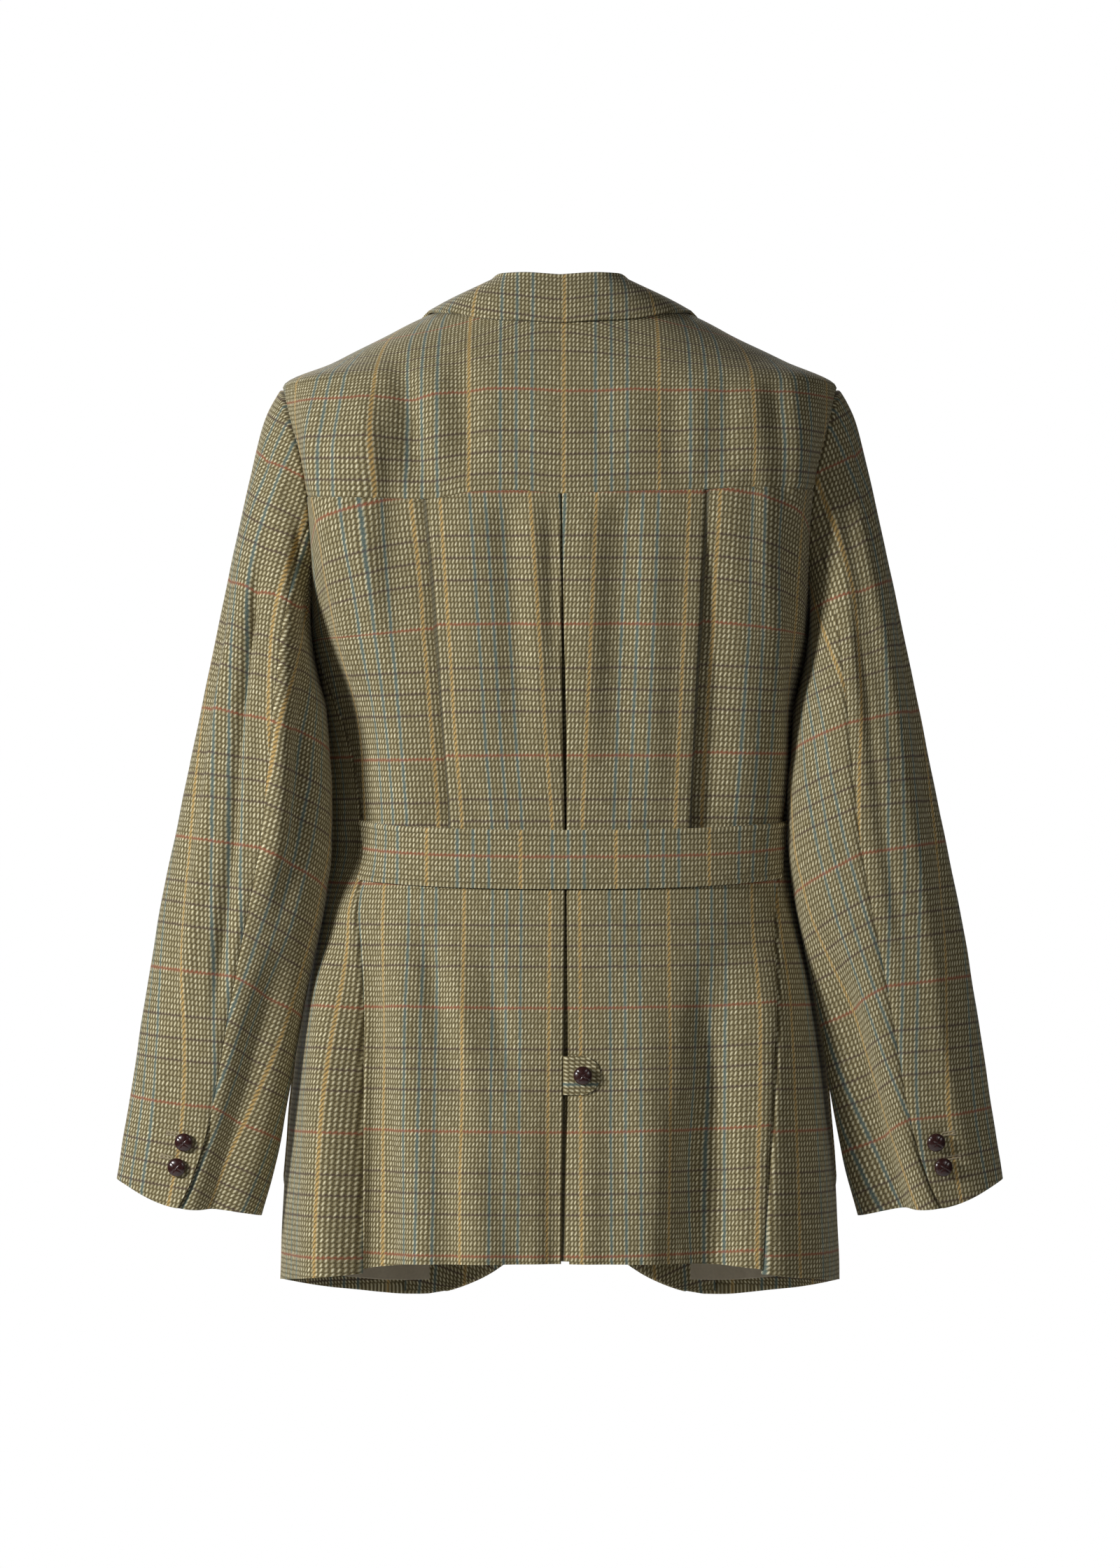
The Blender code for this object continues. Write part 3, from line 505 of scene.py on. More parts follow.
# Round the arm in degrees and down it in stations; widths and depths in millimetres.
SLEEVE_CREASE_COLUMNS = (
    "degrees_from", "station_from", "degrees_to", "station_to", "half_width", "depth", "bend",
    "fade_from", "fade_to",
)
SLEEVE_CREASES = {
    "left": (
        (30, 0.4, 44, 3.0, 10, -3.5, 4, 60, 80),
        (62, 0.2, 60, 2.6, 10, 3.5, 0, 60, 80),
        (92, 0.6, 96, 2.8, 8, -5.0, 0, 60, 80),
        (120, 0.8, 128, 3.2, 9, -5.0, 0, 60, 80),
        (57, 2.6, 88, 10.4, 10, -9.5, 0, 60, 80),
        (100, 1.2, 110, 8.8, 22, 14.0, 0, 80, 100),
        (38, 3.6, 64, 10.6, 11, 5.0, 0, 60, 80),
        (16, 3.0, 40, 9.0, 12, -3.0, 5, 60, 80),
        (120, 4.2, 118, 9.0, 14, -4.0, 0, 60, 80),
        (132, 8.4, 112, 13.6, 24, -12.0, 0, 80, 20),
        (52, 9.8, 46, 13.4, 13, 2.4, 0, 60, 80),
        (-40, 1.0, -30, 6.0, 15, -3.5, 4, 60, 80),
        (-70, 5.0, -20, 8.0, 14, -4.0, 6, 60, 80),
        (-60, 7.5, -10, 9.5, 13, -3.4, 5, 60, 80),
        (-30, 9.5, -50, 12.5, 14, -2.6, 0, 60, 80),
        (200, 3.0, 215, 7.5, 14, -4.0, 0, 60, 80),
        (170, 6.5, 225, 9.0, 14, -3.6, 5, 60, 80),
    ),
    "right": (
        (26, 0.5, 36, 4.0, 12, -3.4, 4, 60, 80),
        (70, 0.3, 78, 3.0, 12, 3.0, 0, 60, 80),
        (100, 1.2, 108, 4.2, 10, -4.0, 0, 60, 80),
        (14, 3.0, 34, 10.0, 13, -3.6, 5, 60, 80),
        (46, 3.4, 62, 11.0, 13, 3.0, 0, 60, 80),
        (76, 3.0, 78, 9.6, 10, -3.2, 0, 60, 80),
        (118, 3.2, 120, 8.6, 14, 3.4, 0, 60, 80),
        (146, 7.8, 124, 13.6, 34, -20.0, 0, 120, 20),
        (66, 9.4, 54, 13.4, 13, 2.6, 0, 60, 80),
        (-36, 1.2, -24, 6.4, 15, -3.2, 4, 60, 80),
        (-64, 5.2, -18, 8.2, 14, -3.6, 6, 60, 80),
        (-56, 7.8, -8, 9.8, 13, -3.2, 5, 60, 80),
        (205, 3.2, 218, 7.6, 14, -4.0, 0, 60, 80),
        (172, 6.8, 226, 9.2, 14, -3.6, 5, 60, 80),
    ),
}

# The fronts' grain: the cloth before and behind the side, its place there, and the column for its rows.
FRONT_GRAIN_WIDTH = 0.272
SIDE_GRAIN_WIDTH = 0.106
FRONT_SIDE_GRAIN = 0.062
FRONT_GRAIN_COLUMN = 60

# Where the gold and red lines of the check fall on each piece of cloth, in metres.
CHECK_PLACE_COLUMNS = ("piece", "gold_at", "red_at", "stretch_across", "stretch_along")
CHECK_PLACES = (
    ("back_yoke", -0.0030, 0.0830, 1.00, 1.00),
    ("back_upper_left", -0.0099, 0.1815, 1.055, 1.00),
    ("back_upper_right", 0.0122, 0.1815, 1.018, 1.00),
    ("side_left", 0.0105, 0.1785, 1.00, 1.00),
    ("side_right", -0.0105, 0.1845, 1.00, 1.00),
    ("skirt_left", 0.0112, -0.1215, 1.110, 1.066),
    ("skirt_right", -0.0095, -0.1215, 1.065, 1.066),
    ("belt", 0.0310, 0.0250, 1.00, 1.00),
    ("tab", 0.0330, 0.0330, 1.00, 1.00),
    ("collar", -0.0035, 0.0087, 1.00, 1.00),
    ("front", 0.0500, -0.1237, 1.00, 1.04),
    ("top_sleeve_left", 0.0600, 0.0800, 1.03, 1.01),
    ("top_sleeve_right", 0.0515, 0.0700, 1.03, 0.985),
    ("under_sleeve_left", 0.0140, 0.0800, 1.03, 1.01),
    ("under_sleeve_right", 0.0060, 0.0700, 1.03, 0.985),
)


def monotone_slopes(xs, ys):
    """Slopes of a monotone cubic curve through the points."""
    steps = np.diff(xs)
    rises = np.diff(ys) / steps
    slopes = np.zeros(len(ys))
    slopes[0] = rises[0]
    slopes[-1] = rises[-1]
    for i in range(1, len(xs) - 1):
        if rises[i - 1] * rises[i] > 0:
            before = 2 * steps[i] + steps[i - 1]
            after = steps[i] + 2 * steps[i - 1]
            slopes[i] = (before + after) / (before / rises[i - 1] + after / rises[i])
    return slopes


class Curves:
    """The columns of a table as smooth curves over its first column."""

    def __init__(self, columns, rows):
        table = np.array(rows, dtype=float)
        self.places = table[:, 0]
        self.values = {name: table[:, i] for i, name in enumerate(columns) if i}
        self.slopes = {name: monotone_slopes(self.places, self.values[name]) for name in self.values}

    def __call__(self, name, place):
        place = np.clip(place, self.places[0], self.places[-1])
        i = np.clip(np.searchsorted(self.places, place) - 1, 0, len(self.places) - 2)
        step = self.places[i + 1] - self.places[i]
        t = (place - self.places[i]) / step
        column = self.values[name]
        slope = self.slopes[name]
        start = (1 + 2 * t) * (1 - t) ** 2 * column[i] + t * (1 - t) ** 2 * step * slope[i]
        end = t * t * (3 - 2 * t) * column[i + 1] + t * t * (t - 1) * step * slope[i + 1]
        return start + end


BODY = Curves(BODY_COLUMNS, BODY_SECTIONS)
HEM = Curves(HEM_COLUMNS, HEM_LINE)
SEAM = Curves(SIDE_SEAM_COLUMNS, SIDE_SEAM)
PLEATS = Curves(PLEAT_COLUMNS, BACK_PLEATS)
PANEL = Curves(SIDE_PANEL_COLUMNS, SIDE_PANEL)
EDGE = Curves(FRONT_EDGE_COLUMNS, FRONT_EDGE)
SLEEVE = Curves(SLEEVE_COLUMNS, SLEEVE_SECTIONS)
HIND = Curves(HIND_SEAM_COLUMNS, HIND_SEAM)
GRAIN = Curves(GRAIN_COLUMNS, GRAIN_LEAN)
COLLAR = Curves(COLLAR_COLUMNS, COLLAR_SECTIONS)
WAVE = Curves(YOKE_WAVE_COLUMNS, YOKE_WAVE)

ARMHOLE_Z = (SHOULDER_TIP_Z + ARMPIT_Z) / 2
ARMHOLE_HALF_HEIGHT = (SHOULDER_TIP_Z - ARMPIT_Z) / 2


def named_rows(columns, rows):
    """The rows of a table, each value under its column's name."""
    return [dict(zip(columns, row)) for row in rows]


CHECKS = {row["piece"]: row for row in named_rows(CHECK_PLACE_COLUMNS, CHECK_PLACES)}


def mix(a, b, t):
    return a + (b - a) * t


def ease(t):
    t = np.clip(t, 0.0, 1.0)
    return t * t * (3 - 2 * t)


def signed_power(value, power):
    return np.sign(value) * np.abs(value) ** power


def dense_ends(count, pull=0.8):
    """Shares from 0 to 1 that lie closer together at both ends."""
    t = np.linspace(0, 1, count)
    return t - pull * np.sin(2 * np.pi * t) / (2 * np.pi)


def unit(vectors):
    """The same directions with length 1."""
    return vectors / np.linalg.norm(vectors, axis=-1, keepdims=True)


def stacked(*parts):
    """Points or cloth coordinates from their separate parts."""
    return np.stack(np.broadcast_arrays(*parts), axis=-1)


def hump(distance, reach):
    """1 on a line, fading out at about twice the reach from it."""
    return np.exp(-(distance / reach) ** 2)


def from_column(values, column):
    """The values of a grid, measured from one of its columns."""
    return values - values[:, column:column + 1]


def crease_height(rows, x, z):
    """Soft troughs and ridges: each row is a line from one place to another."""
    total = np.zeros(np.broadcast(x, z).shape)
    for crease in named_rows(CREASE_COLUMNS, rows):
        away_x = x - crease["x_from"]
        away_z = z - crease["z_from"]
        along_x = crease["x_to"] - crease["x_from"]
        along_z = crease["z_to"] - crease["z_from"]
        length = math.hypot(along_x, along_z)
        t = (away_x * along_x + away_z * along_z) / length ** 2
        aside = (away_x * along_z - away_z * along_x) / length
        aside = np.abs(aside - crease["bend"] * 4 * t * (1 - t))
        fade = ease(t * length / crease["fade_from"]) * ease((1 - t) * length / crease["fade_to"])
        total = total + crease["depth"] * ease(1 - aside / crease["half_width"]) * fade
    return total


def ripple(x, z):
    """The slight unevenness of woollen cloth, in metres."""
    total = 0.0
    for wave in named_rows(RIPPLE_COLUMNS, RIPPLES):
        total = total + wave["strength"] * np.sin(wave["per_x"] * x + wave["per_z"] * z + wave["start"])
    return RIPPLE_HEIGHT * total


def fold_height(x, z):
    """How far the largest folds of the back push the cloth out at this place."""
    total = np.zeros(np.broadcast(x, z).shape)
    for fold in named_rows(BODY_FOLD_COLUMNS, BODY_FOLDS):
        along = (fold["z_top"] - z) / (fold["z_top"] - fold["z_full"])
        leave = np.where(z < fold["z_full"], (z - fold["z_end"]) / (fold["z_full"] - fold["z_end"]), 1.0)
        centre = mix(fold["x_top"], fold["x_hem"], np.clip(along, 0.0, 1.0))
        across = 1 - np.abs(x - centre) / fold["half_width"]
        total = total + fold["depth"] * ease(along) * ease(leave) * ease(across)
    return total


def body_surface(angle, z):
    """Points of the body: angle 0 is the centre back, 90 degrees the wearer's left side."""
    angle, z = np.broadcast_arrays(np.asarray(angle, float), np.asarray(z, float))
    power = 2 / BODY("squareness", z)
    x = BODY("half_width", z) * signed_power(np.sin(angle), power)
    cosine = np.cos(angle)
    depth = np.where(cosine >= 0, BODY("back_depth", z), BODY("front_depth", z))
    y = depth * signed_power(cosine, power)
    y = y + np.where(cosine > 0, fold_height(x, z) * np.minimum(1.0, 2 * cosine), 0.0)
    return stacked(x, y, z)


def body_point(angle, z, out=0.0, side=0, creased=True):
    """Points of the body with its creases, moved out; side tells the fronts' creases apart."""
    point = body_surface(angle, z)
    around = body_surface(angle + ANGLE_STEP, z) - body_surface(angle - ANGLE_STEP, z)
    upward = body_surface(angle, z + HEIGHT_STEP) - body_surface(angle, z - HEIGHT_STEP)
    normal = unit(np.cross(upward, around))
    x = point[..., 0] * 1000
    height = point[..., 2] * 1000
    cosine = np.cos(angle)
    calm = ease((np.abs(height - BELT_CALM_AT) - BELT_CALM_HALF) / BELT_CALM_FADE)
    held = armhole_angle(z, BODY("back_depth", z)) - np.abs(angle)
    place = x if side == 0 else side * x
    swell = crease_height(BACK_SWELLS, place, height) * ease((cosine - 0.15) * 2.2)
    back = swell + calm * crease_height(BACK_CREASES, place, height) * ease(cosine * 2.5)
    back = back * ease(0.15 + held / 0.35)
    front = crease_height(FRONT_CREASES, x + 6 * side, height + 9 * side) * ease(-cosine * 2.5)
    strength = bpy.context.scene.jacket_sizes.creases * creased
    relief = strength * (back + front) / 1000 + ripple(point[..., 0] + 0.3 * side, point[..., 2])
    return point + normal * (out + relief)[..., None]


def back_angle(x, z):
    """The angle on the back at a distance from the centre line."""
    share = np.minimum(1.0, np.abs(x) / BODY("half_width", z))
    return np.copysign(np.arcsin(share ** (BODY("squareness", z) / 2)), x)


def front_angle(x, z):
    """The angle on the front at a distance from the centre line."""
    return np.copysign(math.pi, x) - back_angle(x, z)


def armhole_angle(z, depth):
    """The angle of the armhole's edge, on the half whose depth is given."""
    level = np.minimum(1.0, np.abs(z - ARMHOLE_Z) / ARMHOLE_HALF_HEIGHT)
    reach = ARMHOLE_HALF_DEPTH * np.sqrt(1 - level * level)
    return np.arccos((reach / depth) ** (BODY("squareness", z) / 2))


def panel_limit(z, side, armhole):
    """The angle where a back or front ends: side seam, armhole or shoulder seam."""
    seam = back_angle(SEAM(SIDE_NAMES[side], z), z)
    return np.where(z <= ARMPIT_Z, seam, np.where(z < SHOULDER_TIP_Z, armhole, math.pi / 2))


def back_limit(z, side=1):
    """The angle where the back ends on one side."""
    return panel_limit(z, side, armhole_angle(z, BODY("back_depth", z)))


def front_limit(z, side):
    """The angle where a front begins."""
    return panel_limit(z, side, math.pi - armhole_angle(z, BODY("front_depth", z)))


def seam_share(z):
    """Half the seam gap as an angle; the shoulder seam is closed."""
    closed = SHOULDER_CLOSED * ease((z - SHOULDER_TIP_Z + SHOULDER_CLOSING) / SHOULDER_CLOSING)
    return 0.5 * SEAM_GAP / BODY("back_depth", z) * (1 - closed)


def armhole_levels(turn_from, turn_to, count):
    """Heights at even turns round the armhole, 180 degrees being the armpit."""
    turns = np.radians(np.linspace(turn_from, turn_to, count))
    return ARMHOLE_Z + ARMHOLE_HALF_HEIGHT * np.cos(turns)


def armhole_turn(z):
    """The turn round the armhole at a height, in degrees."""
    return math.degrees(math.acos((z - ARMHOLE_Z) / ARMHOLE_HALF_HEIGHT))


def lengths(points, axis):
    """Distance along a grid's rows or columns, from its first line."""
    steps = np.linalg.norm(np.diff(points, axis=axis), axis=-1)
    total = np.cumsum(steps, axis=axis)
    return np.concatenate((np.zeros_like(np.take(total, [0], axis=axis)), total), axis=axis)


def seam_dip(distance):
    """How the cloth turns in towards a seam at this distance from it."""
    sizes = bpy.context.scene.jacket_sizes
    return -sizes.seam_depth * hump(distance, sizes.seam_reach)


def side_seam_ditch(distance):
    """The narrow ditch along a side seam."""
    return -SIDE_SEAM_DEPTH * hump(distance, SIDE_SEAM_REACH)


def edge_dips(points, *edges):
    """The turn-in along the named edges of a grid."""
    across = lengths(points, 1)
    insets = {"left": across, "right": across[:, -1:] - across, "bottom": lengths(points, 0)}
    return sum(seam_dip(insets[edge]) for edge in edges)


def check_uv(u, v, place):
    """Cloth coordinates whose origin is where a gold and a red line cross."""
    row = CHECKS[place]
    return stacked((u - row["gold_at"]) * row["stretch_across"], (v - row["red_at"]) * row["stretch_along"])


def new_object(name, data):
    piece = bpy.data.objects.new(name, data)
    bpy.context.scene.collection.objects.link(piece)
    return piece


def cloth_mesh(name, points, uv):
    """A grid of points as a smooth sheet, with cloth coordinates in metres."""
    rows, columns = points.shape[:2]
    index = np.arange(rows * columns).reshape(rows, columns)
    corners = (index[:-1, :-1], index[1:, :-1], index[1:, 1:], index[:-1, 1:])
    quads = np.stack(corners, axis=-1).reshape(-1, 4)
    mesh = bpy.data.meshes.new(name)
    mesh.from_pydata(points.reshape(-1, 3).tolist(), [], quads.tolist())
    layer = mesh.uv_layers.new(name="cloth")
    layer.data.foreach_set("uv", uv.reshape(-1, 2)[quads.ravel()].astype(np.float32).ravel())
    mesh.shade_smooth()
    return mesh


def attach(piece, name):
    """Lets a piece stand for the node of that name."""
    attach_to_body(piece, "root")
    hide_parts(name)


def sew(name, points, uv, finish, thickness=None):
    """A piece of cloth with its thickness and soft edges, standing for the node of that name."""
    thickness = thickness or bpy.context.scene.jacket_sizes.cloth
    mesh = cloth_mesh(name + "_cloth", points, uv)
    mesh.materials.append(bpy.data.materials[finish])
    piece = new_object(name + "_cloth", mesh)
    shell = piece.modifiers.new("cloth thickness", "SOLIDIFY")
    shell.thickness = thickness
    shell.offset = 0.0
    edge = piece.modifiers.new("soft edge", "BEVEL")
    edge.width = SOFT_EDGE_SHARE * thickness
    edge.segments = 2
    edge.limit_method = "ANGLE"
    edge.angle_limit = math.radians(60)
    attach(piece, name)


def on_column(points, along, column, reach):
    """The place at a distance up one column of a grid."""
    return [np.interp(reach, along[:, column], points[:, column, k]) for k in range(3)]


def trace_row(points, level, margin):
    """The line at a distance above a grid's first row, or below its last if negative."""
    along = lengths(points, 0)
    columns = range(points.shape[1])[margin:-margin]
    reach = along[-1] + level if level < 0 else np.full(points.shape[1], level)
    return np.array([on_column(points, along, column, reach[column]) for column in columns])


def lifted(line, points, out):
    """A line moved out from a grid of points by its normal there."""
    normals = unit(np.cross(np.gradient(points, axis=0), np.gradient(points, axis=1))).reshape(-1, 3)
    flat_points = points.reshape(-1, 3)
    nearest = [np.argmin(((flat_points - place) ** 2).sum(axis=1)) for place in line]
    return line + out * normals[nearest]


STITCH_LINES = []
THREAD_BARS = []


def yoke_seam(x, z, reach):
    """The heights near the yoke seam, following its wave."""
    return z + WAVE("rise", x) * ease(1 - np.abs(z - YOKE_SEAM_Z) / reach)


def sew_yoke():
    share = (dense_ends(131) * 2 - 1)[None, :]
    low = armhole_levels(armhole_turn(YOKE_SEAM_Z + SEAM_GAP / 2), 0, 42)
    high = np.linspace(SHOULDER_TIP_Z, NECK_Z, 26)
    levels = np.concatenate((low[0] + SEAM_ROWS, low[2:], high[1:]))[:, None]

    def grid(out, creased=True):
        start = share * (back_limit(levels) - seam_share(levels))
        x = body_surface(start, levels)[..., 0]
        z = yoke_seam(x, levels, YOKE_WAVE_REACH)
        return body_point(share * (back_limit(z) - seam_share(z)), z, out, 0, creased)

    flat = grid(0.0, False)
    up = lengths(flat, 0)
    groove = YOKE_GROOVE * hump(up - YOKE_STITCH_INSET, YOKE_GROOVE_REACH)
    points = grid(edge_dips(flat, "left", "right", "bottom") - groove)
    u = from_column(lengths(flat, 1), share.shape[1] // 2)
    sew("back_yoke", points, check_uv(u, up, "back_yoke"), "tweed")
    STITCH_LINES.append(lifted(trace_row(points, YOKE_STITCH_INSET, 2), points, STITCH_OUT))


def fold_arc(edge, outward, ply_from, ply_to, count=7):
    """Distances and plies round a fold whose edge lies at a distance from the centre."""
    t = np.linspace(0, 1, count)[1:-1]
    x = edge - outward * PLY_BEND * (1 - np.sin(np.pi * t))
    ply = mix(ply_from, ply_to, (1 - np.cos(np.pi * t)) / 2)
    return x, np.broadcast_to(ply, x.shape)


def straight(start, end, ply, count):
    """Distances along one ply of a fold."""
    x = mix(start, end, np.linspace(0, 1, count))
    return x, np.full(x.shape, float(ply))


def joined(parts):
    """The distances and the plies of neighbouring parts, each as one grid."""
    return [np.concatenate(grids, axis=1) for grids in zip(*parts)]


def centre_fold(opening):
    """Half of the inverted pleat at the centre, from its middle out to its folded edge."""
    zero = np.zeros(opening.shape)
    return joined((
        straight(zero, zero + PLEAT_DEPTH, 2, 6),
        fold_arc(zero + PLEAT_DEPTH + PLY_BEND, 1, 2, 1),
        straight(zero + PLEAT_DEPTH, opening + PLY_BEND, 1, 6),
        fold_arc(opening, -1, 1, 0, 9),
    ))


def upper_back_half(side, z):
    """Angles and plies of half the upper back, and the columns of its pleat edge and side panel."""
    opening = PLEATS("half_opening", z)
    centre = PLEATS("centre_line", z)
    edge = PLEATS(SIDE_NAMES[side] + "_edge", z)
    fold_x, fold_ply = centre_fold(opening)
    parts = [
        (side * fold_x + centre, fold_ply),
        straight(side * (opening + PLY_BEND) + centre, side * (edge - PLY_BEND), 0, 34),
    ]
    pleat_edge = sum(x.shape[1] for x, ply in parts) + 4
    pleat = (
        fold_arc(edge, 1, 0, 1, 9),
        straight(edge - PLY_BEND, edge - PLEAT_DEPTH, 1, 6),
        fold_arc(edge - PLEAT_DEPTH - PLY_BEND, -1, 1, 2),
        straight(edge - PLEAT_DEPTH, edge + PLEAT_UNDERLAP, 2, 8),
    )
    x, ply = joined(parts + [(side * x, ply) for x, ply in pleat])
    angle = back_angle(x, z)
    share = mix(0.02, 1.0, 1 - (1 - np.linspace(0, 1, 32)) ** 1.3)[None, :]
    limit = side * (back_limit(z, side) - seam_share(z))
    panel = mix(angle[:, -1:], limit, share)
    panel_ply = np.broadcast_to(PANEL("ply", share), panel.shape)
    whole_angle, whole_ply = joined(((angle, ply), (panel, panel_ply)))
    return whole_angle, whole_ply, pleat_edge, angle.shape[1]


def join_halves(right, left):
    """The points and cloth coordinates of a whole back from its halves, which share the centre."""
    return [np.concatenate((a[:, ::-1], b[:, 1:]), axis=1) for a, b in zip(right, left)]


def sew_upper_back():
    low = np.linspace(WAIST_Z + SEAM_GAP / 2, ARMPIT_Z, 46)[:-1]
    high = armhole_levels(180, armhole_turn(YOKE_SEAM_Z - SEAM_GAP / 2), 34)
    top = high[-1]
    seam_rows = top - np.concatenate((SEAM_ROWS[::-1], UNDER_YOKE_ROWS))
    levels = np.concatenate((low, high[:-2], seam_rows))[:, None]
    below_yoke = -UNDER_YOKE_STEP * ease((levels - top + UNDER_YOKE_FROM) / UNDER_YOKE_FADE)
    pressed = PLY_PITCH * mix(PLEAT_PRESSED, 1.0, ease((top - levels) / PLEAT_PRESSED_FADE))
    halves = []
    for side in (-1, 1):
        name = SIDE_NAMES[side]
        angle, ply, pleat_edge, panel_from = upper_back_half(side, levels)
        x = body_surface(angle, levels)[..., 0]
        z = yoke_seam(x, np.broadcast_to(levels, x.shape), BACK_WAVE_REACH)
        flat = body_point(angle, z, -ply * PLY_PITCH, 0, False)
        past_edge = np.abs(x) - PLEATS(name + "_edge", levels)
        lift = PLEAT_LIFTS[name] * hump(past_edge, PLEAT_LIFT_REACH) * (ply < 1.2)
        lift = lift * ease((top - 0.004 - levels) / 0.120)
        flush = ease((past_edge - 0.001) / 0.010) * ease((levels - top + 0.070) / 0.060)
        sink_depth, sink_reach = PLEAT_SINKS[name]
        sink = sink_depth * np.exp(-np.maximum(past_edge, 0.0) / sink_reach)
        sink = sink * ease((top - levels) / 0.100) * ease((levels - low[0] + 0.010) / 0.050)
        sink = np.where((past_edge > 0.0) | (ply > 0.5), sink, 0.0)
        dip = edge_dips(flat, "right") + below_yoke
        points = body_point(angle, z, -ply * pressed * (1 - PLEAT_FLUSH * flush) + dip + lift - sink)
        across = lengths(flat, 1)
        up = lengths(flat, 0)
        uv = check_uv(side * from_column(across, pleat_edge), up, "back_upper_" + name)
        panel_u = side * (from_column(across, panel_from) + PLEAT_UNDERLAP)
        uv[:, panel_from:] = check_uv(panel_u, up, "side_" + name)[:, panel_from:]
        halves.append((points, uv))
    points, uv = join_halves(*halves)
    sew("back_upper", points, uv, "tweed")


def skirt_half(side, z):
    """Angles and plies of half the skirt, and the column of its folded edge."""
    opening = PLEATS("half_opening", z)
    centre = PLEATS("centre_line", z)
    fold_x, fold_ply = centre_fold(opening)
    start = back_angle(side * (opening + PLY_BEND) + centre, z)
    limit = side * (back_limit(z, side) - seam_share(z))
    outer = mix(start, limit, 1 - (1 - np.linspace(0, 1, 64)) ** 1.35)
    fold = back_angle(side * fold_x + centre, z)
    angle, ply = joined(((fold, fold_ply), (outer, np.zeros(outer.shape))))
    return angle, ply, fold_x.shape[1] - 3


def sew_skirt():
    share = dense_ends(92, 0.7)[:, None]
    halves = []
    for side in (-1, 1):
        hem_angle, hem_ply, edge_column = skirt_half(side, np.full((1, 1), BACK_HEM_Z))
        hem = HEM("height", np.abs(np.degrees(hem_angle))) + UNDERLAY_LIFT * ease(hem_ply - 0.6)
        z = mix(hem, WAIST_Z - SEAM_GAP / 2, share)
        angle = np.zeros(z.shape)
        ply = np.zeros(z.shape)
        for column in range(z.shape[1]):
            column_angle, column_ply, _ = skirt_half(side, z[:, column:column + 1])
            angle[:, column] = column_angle[:, column]
            ply[:, column] = column_ply[:, column]
        flat = body_point(angle, z, -ply * PLY_PITCH, 0, False)
        across = lengths(flat, 1)
        up = lengths(flat, 0)
        dip = edge_dips(flat, "right") + side_seam_ditch(across[:, -1:] - across)
        points = body_point(angle, z, -ply * PLY_PITCH + dip)
        u = side * from_column(across, edge_column)
        halves.append((points, check_uv(u, up - up[-1:], "skirt_" + SIDE_NAMES[side])))
    points, uv = join_halves(*halves)
    sew("back_skirt", points, uv, "tweed")


def sew_belt():
    sizes = bpy.context.scene.jacket_sizes
    share = (dense_ends(121) * 2 - 1)[None, :]
    level = dense_ends(25, 0.6)[:, None]
    z = mix(BELT_BOTTOM_Z, BELT_TOP_Z, level) - BELT_SAG * (1 - share * share)
    reach = np.where(share > 0, SEAM("left", z), SEAM("right", z))
    angle = share * (back_angle(reach, z) - seam_share(z))
    flat = body_point(angle, z, BELT_OUT, 0, False)
    up = lengths(flat, 0)
    inset = np.minimum(up, up[-1:] - up)
    groove = STITCH_GROOVE * hump(inset - sizes.topstitch, STITCH_GROOVE_REACH)
    swell = BELT_SWELL * hump(inset - BELT_SWELL_INSET, BELT_SWELL_REACH)
    swell = swell - BELT_EDGE_DIP * hump(inset, BELT_EDGE_REACH)
    points = body_point(angle, z, BELT_OUT - groove + swell)
    uv = check_uv(from_column(lengths(flat, 1), share.shape[1] // 2), up, "belt")
    sew("half_belt", points, uv, "tweed", sizes.double_cloth)
    for row in (sizes.topstitch, -sizes.topstitch):
        STITCH_LINES.append(lifted(trace_row(points, row, 1), points, BELT_STITCH_OUT))


def tab_point(share, level, out=0.0):
    """The vent tab: share 0 is its sewn end in the vent, 1 its round end."""
    middle = (TAB_TOP_Z + TAB_BOTTOM_Z) / 2
    half = (TAB_TOP_Z - TAB_BOTTOM_Z) / 2
    start = PLEATS("centre_line", middle) + PLEATS("half_opening", middle) - TAB_INSET
    past = np.maximum(0.0, (share - TAB_ROUND_FROM) / (1 - TAB_ROUND_FROM))
    narrow = np.sqrt(np.maximum(0.0, 1 - (0.992 * past) ** TAB_ROUNDNESS))
    z = middle + half * level * narrow
    rise = mix(TAB_SEWN_OUT, TAB_OUT, ease(share / 0.12))
    return body_point(back_angle(mix(start, TAB_END_X, share), z), z, rise + out)


def sew_tab():
    share = (1 - (1 - np.linspace(0, 1, 41)) ** 1.5)[None, :]
    level = (dense_ends(27, 0.6) * 2 - 1)[:, None]
    rim = np.maximum(np.abs(level) ** 6, ease((share - 0.90) / 0.10))
    points = tab_point(share, level, 0.0003 - 0.0005 * rim)
    flat = tab_point(share, level)
    uv = check_uv(flat[..., 2] - TAB_BOTTOM_Z, -flat[..., 0], "tab")
    sew("vent_tab", points, uv, "tweed")
    run = np.linspace(0.10, 0.86, 14)
    turn = 0.9 * np.linspace(TAB_STITCH_LEVEL, -TAB_STITCH_LEVEL, 11)
    path = [(s, TAB_STITCH_LEVEL) for s in run]
    path += [(0.90, t) for t in turn]
    path += [(s, -TAB_STITCH_LEVEL) for s in run[::-1]]
    shares, levels = np.array(path).T
    STITCH_LINES.append(tab_point(shares, levels, TAB_STITCH_OUT))


